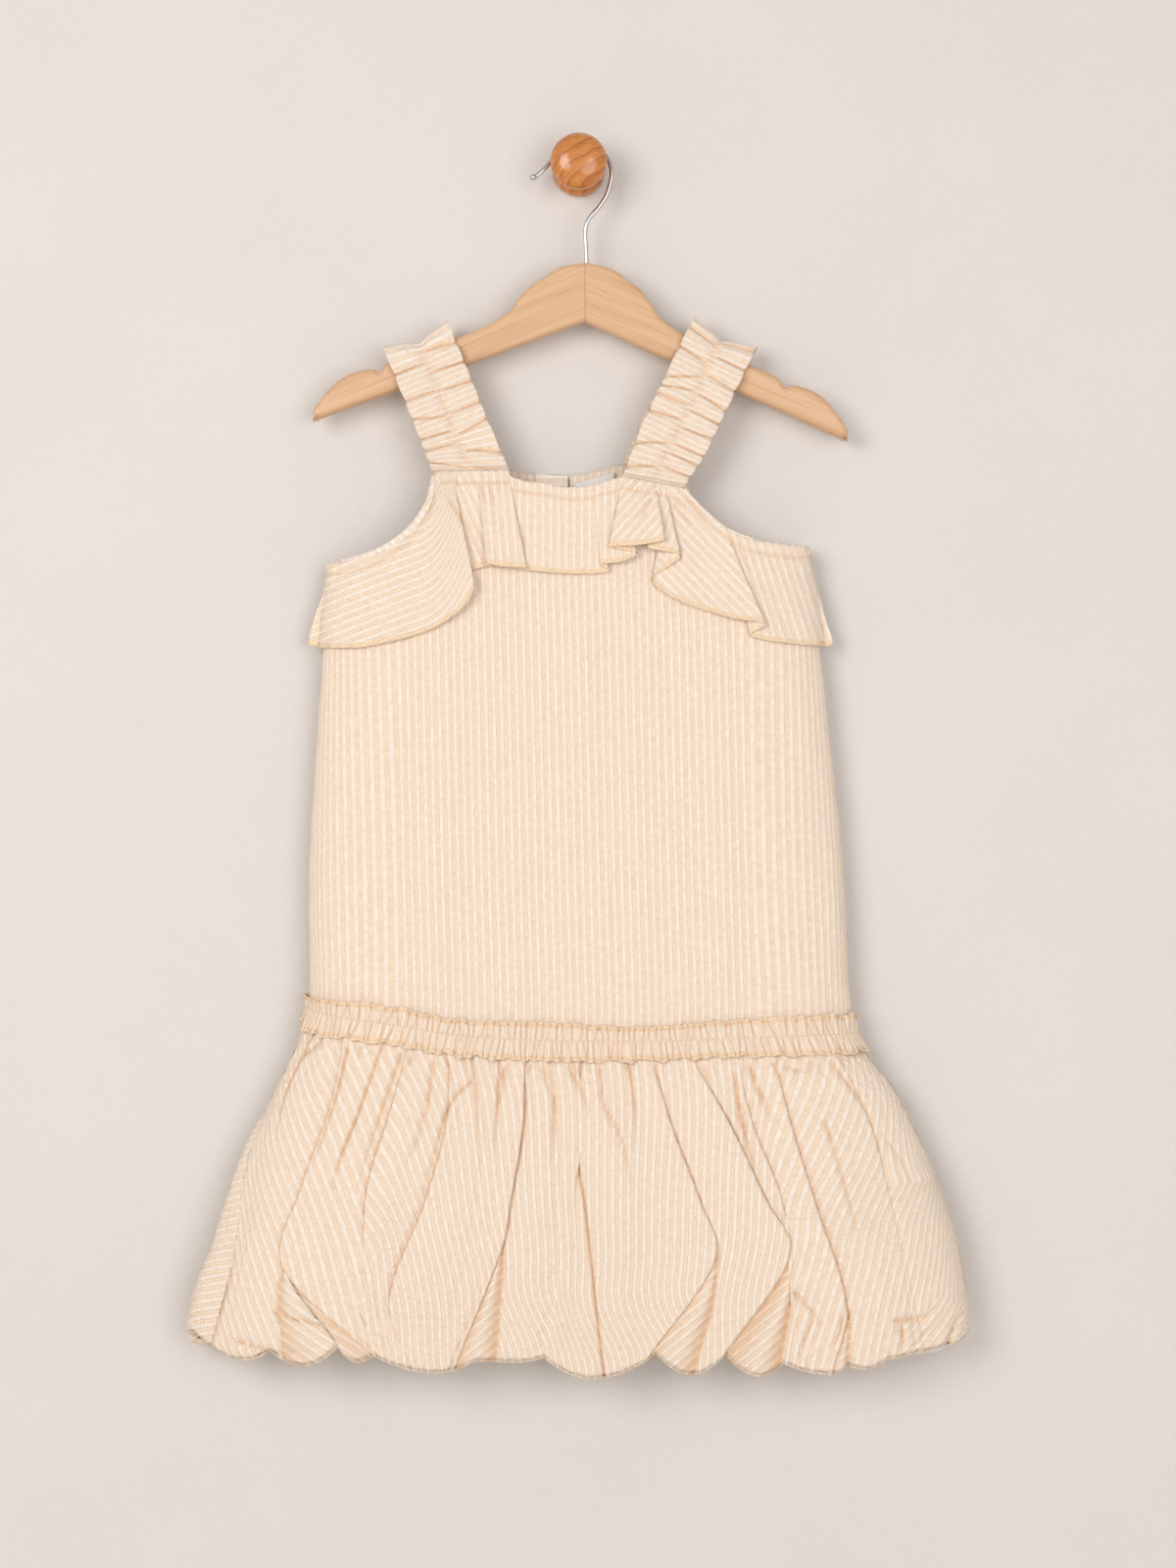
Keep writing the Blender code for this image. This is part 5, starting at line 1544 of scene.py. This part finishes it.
def band_piece(name, node, first_turn, seed, columns):
    chance = np.random.default_rng(seed)
    creases = []
    for _ in range(2):
        steps = chance.uniform(2.5, 5.6, 140)
        middle = np.cumsum(steps) - 8
        creases.append((np.stack([middle, middle + chance.uniform(-2.4, 2.4, 140)], axis=1),
                        chance.uniform(0.6, 1.35, 140)))

    def spots(across, down):
        side = 2 * down - 1
        turn = np.clip(first_turn + across, first_turn + 0.001, first_turn + 0.999)
        along = turn if first_turn == 0 else 2 - turn
        above, below = along_rows(BAND, along)
        distance = across_cloth(turn, waist_drop(turn)) + 170
        return side, turn, above, below, distance

    def place(across, down):
        side, turn, above, below, distance = spots(across, down)
        wide = np.abs(side)
        both = [puffs(distance, wide, *half, 1.0) for half in creases]
        puff = np.where(side < 0, both[0][0], both[1][0]) * 3.6
        waver = 0.85 * soft_noise(distance, side * 9, 13, seed)
        waver = (waver + 0.7 * soft_noise(distance, side * 9, 5.5, seed + 1)) * wide
        lift = 1.5 + 1.3 * wide ** 2 + puff * wide ** 0.6 * 0.62 + 0.8 * waver
        small = np.sin(distance * 2 * math.pi / ROW_OF_STITCHES)
        lift = lift + 0.3 * small * np.exp(-(side / 0.2) ** 2)
        lift = lift - 0.35 * np.exp(-(side / 0.12) ** 2)
        reach = np.where(side > 0, below, above) * side + waver * np.sign(side)
        return dress_points(turn, waist_drop(turn) + reach, lift)

    def cloth(across, down, points):
        side, *_, distance = spots(across, down)
        return np.stack([1.5 * distance, side * 11], axis=-1) * MM

    def edge(across, down, points):
        side, *_, distance = spots(across, down)
        return np.stack([1.3 * distance, (1 - np.abs(side)) * 11], axis=-1) * MM

    # Painted shade in the creases and along the row of stitches.
    def crease(across, down, points):
        side, *_, distance = spots(across, down)
        both = [puffs(distance, np.abs(side), *half, 1.0)[2] for half in creases]
        near = np.where(side < 0, both[0], both[1])
        shadow = np.exp(-(near / 0.55) ** 2) * smooth_step(np.abs(side) / 0.12)
        shadow = shadow * smooth_step((1 - np.abs(side)) / 0.15)
        stitched = 0.5 * np.exp(-(side / 0.05) ** 2)
        return np.stack([np.maximum(shadow, stitched), 0 * shadow], axis=-1)

    piece, points = lay_cloth(name, columns, 28, place, cloth, edge, crease, wall=THIN_WALL)
    finish_piece(piece, node, frill_cotton)
    return points


band_front_points = band_piece("band_front", "waist_band_front", 0, 3, 620)
band_back_points = band_piece("band_back", "waist_band_back", 1, 9, 460)

# %% [markdown]
# ## Closing the back neck
# Behind the neck the back is slit and closed by one small button. The slit is cut
# through the finished panel with a thin box. Beside it, on the inside, lies the placket,
# a strip cut so that its stripes run across. A blank white label hangs from the edge.

# %% Slit and placket
SLIT_X = -6.0
SLIT_WIDTH = 1.2
SLIT_LENGTH = 60
back_edge = np.array(BACK_TOP, float)
slit_top = float(np.interp(SLIT_X, back_edge[:, 0], back_edge[:, 1]))
bpy.ops.mesh.primitive_cube_add(size=1)
slit = bpy.context.active_object
slit.scale = (SLIT_WIDTH * MM, 20 * MM, 2 * SLIT_LENGTH * MM)
slit.location = (SLIT_X * MM, -5 * MM, -slit_top * MM)
bpy.ops.object.transform_apply(location=True, rotation=True, scale=True)
cut_with(bodice_back, slit)
PLACKET_WIDTH = 20


def placket_spots(across, down):
    x = SLIT_X - SLIT_WIDTH / 2 - PLACKET_WIDTH * (1 - across)
    return x, np.interp(x, back_edge[:, 0], back_edge[:, 1]) - 0.4 + SLIT_LENGTH * down


def placket_place(across, down):
    x, drop = placket_spots(across, down)
    return dress_points(2 - turn_at(x, drop), drop, -1.2 - 0.4 * (4 * across * (1 - across)) * down)


def placket_cloth(across, down, points):
    x, drop = placket_spots(across, down)
    return np.stack([-drop, x], axis=-1) * MM


placket, points = lay_cloth("placket", 20, 60, placket_place, placket_cloth, wall=THIN_WALL)
finish_piece(placket, "back_placket", inside_cotton)
print("slit, mm:", SLIT_LENGTH)

# %% Label
LABEL_WIDTH = 25
LABEL_HEIGHT = 14
LABEL_CORNER = (-3.0, 191.4)
LABEL_RISE = 7.0             # how much higher its right end lies


def label_place(across, down):
    x = LABEL_CORNER[0] + LABEL_WIDTH * across
    drop = LABEL_CORNER[1] - LABEL_RISE * across + LABEL_HEIGHT * down
    bulge = 2.4 * (4 * across * (1 - across)) * (0.3 + 0.7 * down)
    return dress_points(2 - turn_at(x, drop), drop, -2.6 - bulge)


def label_cloth(across, down, points):
    return np.stack([LABEL_WIDTH * across, -LABEL_HEIGHT * down], axis=-1) * MM


label, points = lay_cloth("label", 20, 14, label_place, label_cloth)
finish_piece(label, "neck_label", lining_cotton)

# %% [markdown]
# ## Armhole bindings
# A narrow strip of the same cotton is folded over the cut edge of each armhole. Only a
# thin roll of it shows past the ruffle, with its paler wrong side out, so the roll alone
# is laid here, as wide as it shows at each place.

# %% Binding of the front's armholes
BINDING_STEPS = 80
BINDINGS = (
    # name, then points of x and drop on the edge, with the width that shows
    ("binding_left", (-87.6, 188, 0.8), (-88.4, 195, 2.6), (-92, 205, 3.8), (-99, 215.8, 4.2),
     (-108.5, 224.8, 4.0), (-119.5, 231.8, 3.0), (-132, 236.6, 1.6), (-142, 239, 0.8)),
    ("binding_right", (63.8, 196, 0.8), (68, 201.2, 1.5), (75, 208.5, 1.6), (84, 216.6, 1.5),
     (94, 222.6, 1.1), (105, 226.6, 0.7)),
)


def smooth_route(spots, steps):
    """A smooth line of points through a short list of them."""
    spots = np.array(spots, float)
    at = np.arange(len(spots), dtype=float)
    return np.stack(along_rows(np.column_stack([at, spots]), np.linspace(0, at[-1], steps)), axis=1)


def binding_piece(name, *edge_points):
    line = smooth_route(edge_points, BINDING_STEPS + 1)
    along = np.gradient(line[:, :2], axis=0)
    inward = np.stack([-along[:, 1], along[:, 0]], axis=1)
    inward = inward / np.linalg.norm(inward, axis=1, keepdims=True)
    inward *= np.where(inward[:, 1:] < 0, -1, 1)

    def place(across, down):
        number = np.rint(across * BINDING_STEPS).astype(int)
        spot = line[number, :2] + inward[number] * (line[number, 2] * down - 0.5)[..., None]
        lift = 3.0 - 1.3 * np.exp(-down / 0.15) - 0.5 * down
        return dress_points(turn_at(spot[..., 0], spot[..., 1]), spot[..., 1], lift)

    def cloth(across, down, points):
        return np.stack([0.09 * across, 0.004 * down], axis=-1)

    binding, points = lay_cloth(name, BINDING_STEPS, 8, place, cloth)
    binding.data.materials.clear()
    binding.data.materials.append(inside_cotton)
    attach(binding, "root")


for binding_row in BINDINGS:
    binding_piece(*binding_row)

# %% [markdown]
# ## The button
# One small pearly button with four holes closes the slit. It is turned like a real one:
# a disc, its rim rounded, its holes drilled, and then it is set on the outside of the
# back, just beside the slit.

# %% Button
BUTTON_RADIUS = 5.0
BUTTON_THICKNESS = 2.0
BUTTON_DROP = 193.0
BUTTON_OFF = 0.95            # underside off the middle of the cloth's wall
HOLE_RADIUS = 0.6
HOLE_OUT = 1.2


def pearl():
    material, tree, shader = new_material("pearl button", 0.25)
    shader.inputs["Coat Weight"].default_value = 0.4
    cloud = remap(tree, noise_node(tree, place_on_piece(tree), 260.0, 3.0), 0.35, 0.65)
    colour = mix_colour(tree, cloud, linear(232, 224, 210), linear(214, 202, 190))
    tree.links.new(colour, shader.inputs["Base Color"])
    return material


button_x = SLIT_X - 1.0 - BUTTON_RADIUS
seat = dress_points(2 - turn_at(button_x, BUTTON_DROP), BUTTON_DROP, BUTTON_OFF)
bpy.ops.mesh.primitive_cylinder_add(vertices=48, radius=BUTTON_RADIUS * MM, depth=BUTTON_THICKNESS * MM)
button = bpy.context.active_object
button.name = "button"
rim = button.modifiers.new("rim", "BEVEL")
rim.width = 0.6 * MM
rim.segments = 4
bpy.ops.object.modifier_apply(modifier="rim")
for across, up in ((1, 1), (1, -1), (-1, 1), (-1, -1)):
    bpy.ops.mesh.primitive_cylinder_add(vertices=16, radius=HOLE_RADIUS * MM, depth=6 * MM,
                                        location=(across * HOLE_OUT * MM, up * HOLE_OUT * MM, 0))
    cut_with(button, bpy.context.active_object)
stand_up(button, (float(seat[0]), float(seat[1]) + BUTTON_THICKNESS / 2 * MM, float(seat[2])))
bpy.ops.object.shade_smooth_by_angle(angle=math.radians(35))
finish_piece(button, "back_button", pearl())
print("button, mm:", [round(size / MM, 1) for size in button.dimensions])

# %% [markdown]
# ## Thread
# Stitches hold the band and the straps along their middles, and a line of topstitching
# runs under the ruffle's top edge. Each stitch is a short bead of thread that dips into
# the cloth at both ends. The overlocked edges get a fine zigzag thread over their rim.

# %% Thread, and lines made solid
def thread_paint(name, light, dark):
    material, tree, shader = new_material(name, 0.8)
    twist = remap(tree, noise_node(tree, place_on_piece(tree), 1500.0, 2.0), 0.3, 0.7)
    tree.links.new(mix_colour(tree, twist, light, dark), shader.inputs["Base Color"])
    return material


overlock_thread = thread_paint("overlock thread", linear(255, 240, 216), linear(248, 226, 193))
seam_thread = thread_paint("seam thread", linear(243, 216, 182), linear(222, 189, 150))


def round_curve(name, radius, sides):
    """An empty curve whose lines are given a round section."""
    curve = bpy.data.curves.new(name, "CURVE")
    curve.dimensions = "3D"
    curve.bevel_depth = radius
    curve.bevel_resolution = sides
    curve.use_fill_caps = True
    return curve


def add_line(curve, points):
    """Straight stretches through points in metres."""
    spline = curve.splines.new("POLY")
    spline.points.add(len(points) - 1)
    spline.points.foreach_set("co", np.column_stack([points, np.ones(len(points))]).ravel())
    return spline


def curve_mesh(curve, name):
    piece = bpy.data.objects.new(name, curve)
    bpy.context.scene.collection.objects.link(piece)
    select_only(piece)
    bpy.ops.object.convert(target="MESH")
    return bpy.context.active_object


def thread_piece(name, strands, radius, paint):
    """Strands of thread, each a list of points in metres, as one mesh."""
    curve = round_curve(name, radius, 1)
    for strand in strands:
        add_line(curve, strand)
    piece = curve_mesh(curve, name)
    piece.data.materials.clear()
    piece.data.materials.append(paint)
    bpy.ops.object.shade_smooth()
    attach(piece, "root")
    print(name, "strands", len(strands), "triangles", sum(len(p.vertices) - 2 for p in piece.data.polygons))


# %% Stitches and edge thread
STITCH_THREAD = 0.00021      # radius in metres, as are the next two
TOPSTITCH_THREAD = 0.00023
OVERLOCK_THREAD = 0.00017


def outward(points):
    """Normals of a draped grid, away from the body."""
    right = np.gradient(points, axis=1)
    down = np.gradient(points, axis=0)
    normal = np.cross(down, right)
    return normal / np.maximum(np.linalg.norm(normal, axis=-1, keepdims=True), 1e-12)


def run_along(line):
    return np.concatenate([[0], np.cumsum(np.linalg.norm(np.diff(line, axis=0), axis=1))]) / MM


def pick(at, run, line):
    """Points of a line at these distances along it."""
    return np.stack([np.interp(at, run, line[:, axis]) for axis in range(3)], axis=1)


def stitch_row(line, normal, length=2.2, apart=0.9, rise=0.00035):
    """Stitches along a line of points, as strands."""
    run = run_along(line)
    up = np.array([-0.6, 0.75, 1.0, 0.75, -0.6])[:, None] * rise
    strands = []
    for start in np.arange(1.5, run[-1] - length, length + apart):
        at = start + length * np.array([0, 0.2, 0.5, 0.8, 1])
        strands.append(pick(at, run, line) + pick(at, run, normal) * up)
    return strands


def edge_thread(points, normals, row, inner, step=1.45, rise=0.00045):
    """A zigzag over the edge, from the row to a row further in."""
    run = run_along(points[row])
    at = np.arange(0.5, run[-1], step / 2)
    even = (np.arange(len(at)) % 2 == 0)[:, None]
    outer = pick(at, run, points[row])
    away = pick(at, run, normals[row])
    past = outer - pick(at, run, points[inner])
    past = past / np.maximum(np.linalg.norm(past, axis=1, keepdims=True), 1e-9)
    return np.where(even, outer + past * 0.0003 + away * rise * 0.3, outer - past * 0.0026 + away * rise)


frill_out, band_out = outward(frill_points), outward(band_front_points)
stitch_at = int(np.argmin(np.abs(from_seam[:, neck] - SEAM_GATHER)))
thread_piece("ruffle_topstitches", stitch_row(frill_points[stitch_at], frill_out[stitch_at]),
             TOPSTITCH_THREAD, seam_thread)
thread_piece("ruffle_overlock", [edge_thread(frill_points, frill_out, -1, -3)],
             OVERLOCK_THREAD, overlock_thread)
middle = band_front_points.shape[0] // 2
thread_piece("band_stitches", stitch_row(band_front_points[middle], band_out[middle])
             + stitch_row(band_back_points[middle], outward(band_back_points)[middle]),
             STITCH_THREAD, seam_thread)
thread_piece("band_overlock", [edge_thread(band_front_points, band_out, 0, 2),
                               edge_thread(band_front_points, band_out, -1, -3)],
             OVERLOCK_THREAD, overlock_thread)
for row, points in zip(STRAPS, strap_points):
    middle = points.shape[1] // 2
    out = outward(points)
    thread_piece(row[0] + "_stitches", stitch_row(points[::-1, middle], out[::-1, middle]),
                 STITCH_THREAD, seam_thread)

# %% [markdown]
# ## The hanger
# A child's hanger is sawn from a flat board of pale beech in two halves, glued in the
# middle, and its edges are rounded with a cutter before varnishing. So it is drawn as
# its outline, thickened, with a rounded edge. Its shader draws long grain that follows
# each arm, a darker fleck here and there, and the glued line in the middle.

# %% Wood finishes
def wood(name, roughness, coat):
    material, tree, shader = new_material(name, roughness)
    shader.inputs["Coat Roughness"].default_value = 0.12
    shader.inputs["Coat Weight"].default_value = coat
    return material, tree, shader, separate(tree, place_on_piece(tree))


HANGER_TOP = (4.7, 59.3)
GLUE_LINE = 3.8
hanger_wood, tree, shader, (x, y, z) = wood("pale beech", 0.42, 0.15)
beside = math_node(tree, "SUBTRACT", x, GLUE_LINE * MM)
away = math_node(tree, "ABSOLUTE", beside)
across_grain = plus(tree, z, times(tree, away, 0.42))
half = times(tree, math_node(tree, "GREATER_THAN", beside, 0.0), 3.7)


def grain_noise(along, across, depth, offset, detail, roughness=0.5):
    """Noise stretched along the arm, with its own scale each way."""
    sideways = times(tree, across_grain, across)
    if offset is not None:
        sideways = plus(tree, sideways, offset)
    spot = combine(tree, times(tree, away, along), sideways, times(tree, y, depth))
    return noise_node(tree, spot, 1.0, detail, roughness)


grain = grain_noise(9.0, 330.0, 120.0, half, 4.0, 0.6)
fleck = grain_noise(70.0, 900.0, 1.0, None, 1.0)
board = grain_noise(2.5, 60.0, 1.0, half, 2.0)
colour = mix_colour(tree, remap(tree, grain, 0.32, 0.68), linear(231, 189, 148), linear(214, 167, 124))
colour = mix_colour(tree, remap(tree, board, 0.35, 0.7, 0.0, 0.5), colour, linear(217, 176, 131))
colour = mix_colour(tree, remap(tree, fleck, 0.62, 0.75, 0.0, 0.4), colour, linear(181, 131, 88))
glue = remap(tree, away, 0.0, 0.00045, 0.6, 0.0)
colour = mix_colour(tree, glue, colour, linear(150, 101, 62))
tree.links.new(colour, shader.inputs["Base Color"])
add_relief(tree, shader, grain, 0.00012)
print("glued line, mm:", GLUE_LINE)

# %% Outline of the hanger
HANGER_EDGE = (
    # across, down
    (0, 0),
    (15, 2.8),
    (25.5, 9.8),
    (31.3, 13.4),
    (41.4, 24.6),
    (44.3, 29.6),
    (57.4, 39.2),
    (78, 48.8),
    (111, 61.7),
    (118.5, 65.6),
    (122.4, 70.7),
    (126.6, 68.8),
    (136, 70.7),
    (145.5, 75.7),
    (156.7, 88),
    (161.3, 96),
    (161.3, 101.4),
)
HANGER_LOWER = 35.3
HANGER_TILT = math.radians(2.2)
HANGER_ROUNDING = 3.2
arm = through_ribs(np.array(HANGER_EDGE, float), 5)
lower = np.linspace(HANGER_EDGE[-1], (0, HANGER_LOWER), 24)[1:]
arm = np.concatenate([arm, lower])
outline = np.concatenate([arm, arm[-2:0:-1] * (-1, 1)])
across, down = outline.T
tilted = np.stack([across * math.cos(HANGER_TILT) - down * math.sin(HANGER_TILT),
                   -across * math.sin(HANGER_TILT) - down * math.cos(HANGER_TILT), 0 * down], axis=1)
curve = bpy.data.curves.new("hanger", "CURVE")
curve.dimensions = "2D"
curve.fill_mode = "BOTH"
curve.extrude = (HANGER_THICKNESS / 2 - HANGER_ROUNDING) * MM
curve.bevel_depth = HANGER_ROUNDING * MM
curve.bevel_resolution = 5
curve.offset = -HANGER_ROUNDING * MM
add_line(curve, tilted * MM).use_cyclic_u = True
hanger = curve_mesh(curve, "wood_hanger")
stand_up(hanger, (HANGER_TOP[0] * MM, -HANGER_DEPTH * MM, -HANGER_TOP[1] * MM))
bpy.ops.object.shade_smooth_by_angle(angle=math.radians(40))
finish_piece(hanger, "hanger", hanger_wood)
print("hanger, mm:", [round(size / MM, 1) for size in hanger.dimensions])

# %% [markdown]
# ## The hook
# The hook is one bent wire, chromed, with a ball on its end. It hangs on the knob, and
# its stem goes into the hanger's top. One smooth route through the bend is given a
# round section; near its end the section swells into the ball.

# %% Bent wire
HOOK_WIRE = 1.3
HOOK_BALL = 1.95
HOOK_STEM = ((4.7, -58.9), (4.3, -48), (4.0, -38.5), (6.3, -31.8), (12.1, -25.2), (17.0, -17.3))
HOOK_END = ((-20.2, -1.4), (-23.9, -5.0), (-26.4, -6.6), (-27.4, -7.1), (-28.4, -7.5), (-29.4, -7.9))
HOOK_BEND = (0.84, -5.1)     # middle of the round bend
HOOK_RADIUS = 18.9
turns = np.radians(np.arange(-8, 160, 12))
bend = HOOK_BEND + HOOK_RADIUS * np.stack([np.cos(turns), np.sin(turns)], axis=1)
route = np.concatenate([HOOK_STEM, bend, HOOK_END])
route = smooth_route(route, 8 * len(route))
curve = round_curve("hook", HOOK_WIRE * MM, 6)
x, z = route.T
spline = add_line(curve, np.stack([x, 0 * x - HANGER_DEPTH, z], axis=1) * MM)
ball_from = route[-1, 0] + 2 * HOOK_BALL
for point, (x, z) in zip(spline.points, route):
    into = (ball_from - x) / (2 * HOOK_BALL) if z > -12 and x < 0 else 0
    if into > 0:
        swell = math.sqrt(max(1 - (2 * into - 1) ** 2, 0.02))
        point.radius = max(HOOK_BALL / HOOK_WIRE * swell, 1 if into < 0.5 else 0.1)
hook = curve_mesh(curve, "hook")
bpy.ops.object.shade_smooth()
chrome, tree, shader = new_material("chromed wire", 0.2)
shader.inputs["Metallic"].default_value = 1.0
smear = noise_node(tree, place_on_piece(tree), 300.0, 2.0)
tree.links.new(remap(tree, smear, 0.3, 0.7, 0.1, 0.24), shader.inputs["Roughness"])
colour = mix_colour(tree, smear, linear(214, 213, 212), linear(196, 195, 195))
tree.links.new(colour, shader.inputs["Base Color"])
finish_piece(hook, "hanger_hook", chrome)
print("hook, mm:", [round(size / MM, 1) for size in hook.dimensions])

# %% [markdown]
# ## The wall knob
# The knob is turned on a lathe from a rounded blank and varnished. Its profile goes
# from a foot at the wall over a narrower neck, where the hook sits, to a domed head.
# The growth rings of the blank cross the dome as slanting curved lines.

# %% Turned knob
KNOB_PROFILE = (
    # radius, depth
    (0, 39.5),
    (6, 39.1),
    (11.5, 37.6),
    (15.4, 34.9),
    (17.0, 31.2),
    (16.4, 27.2),
    (14.2, 23.6),
    (12.2, 20.4),
    (12.2, 13.6),
    (13.0, 9.8),
    (15.2, 6.4),
    (16.0, 3.8),
    (16.0, 0),
    (0, 0),
)
front = through_ribs(np.array(KNOB_PROFILE[:-1], float), 6)
mesh = bpy.data.meshes.new("knob")
mesh.from_pydata([(radius * MM, 0, depth * MM) for radius, depth in (*front, (0, 0))],
                 [(i, i + 1) for i in range(len(front))], [])
knob = bpy.data.objects.new("knob", mesh)
bpy.context.scene.collection.objects.link(knob)
select_only(knob)
screw = knob.modifiers.new("turned", "SCREW")
screw.steps = 72
screw.render_steps = 72
screw.use_merge_vertices = True
screw.merge_threshold = 0.00001
bpy.ops.object.modifier_apply(modifier="turned")
stand_up(knob)
bpy.ops.object.mode_set(mode="EDIT")
bpy.ops.mesh.select_all(action="SELECT")
bpy.ops.mesh.normals_make_consistent(inside=False)
bpy.ops.object.mode_set(mode="OBJECT")
bpy.ops.object.shade_smooth_by_angle(angle=math.radians(50))

# %% Honey wood
TREE_HEART = (0.035, -0.01, -0.045)
RING_WIDTH = 0.0068
knob_wood, tree, shader, (x, y, z) = wood("honey wood", 0.3, 0.6)
spot = combine(tree, x, y, z)
bend = times(tree, noise_node(tree, spot, 55.0, 1.0), 0.006)
from_heart = tree.nodes.new("ShaderNodeVectorMath")
from_heart.operation = "DISTANCE"
tree.links.new(combine(tree, x, times(tree, y, 0.4), z), from_heart.inputs[0])
from_heart.inputs[1].default_value = TREE_HEART
ring = math_node(tree, "DIVIDE", plus(tree, from_heart.outputs["Value"], bend), RING_WIDTH)
ring = math_node(tree, "FRACT", ring)
late = math_node(tree, "POWER", ring, 4.0)
spot = combine(tree, times(tree, ring, 3.0), times(tree, x, 200.0), times(tree, z, 420.0))
pores = noise_node(tree, spot, 1.0, 3.0, 0.6)
colour = mix_colour(tree, remap(tree, pores, 0.3, 0.7), linear(218, 143, 70), linear(201, 121, 52))
colour = mix_colour(tree, times(tree, late, 0.85), colour, linear(163, 84, 30))
tree.links.new(colour, shader.inputs["Base Color"])
finish_piece(knob, "wall_knob", knob_wood)
print("knob, mm:", [round(size / MM, 1) for size in knob.dimensions])
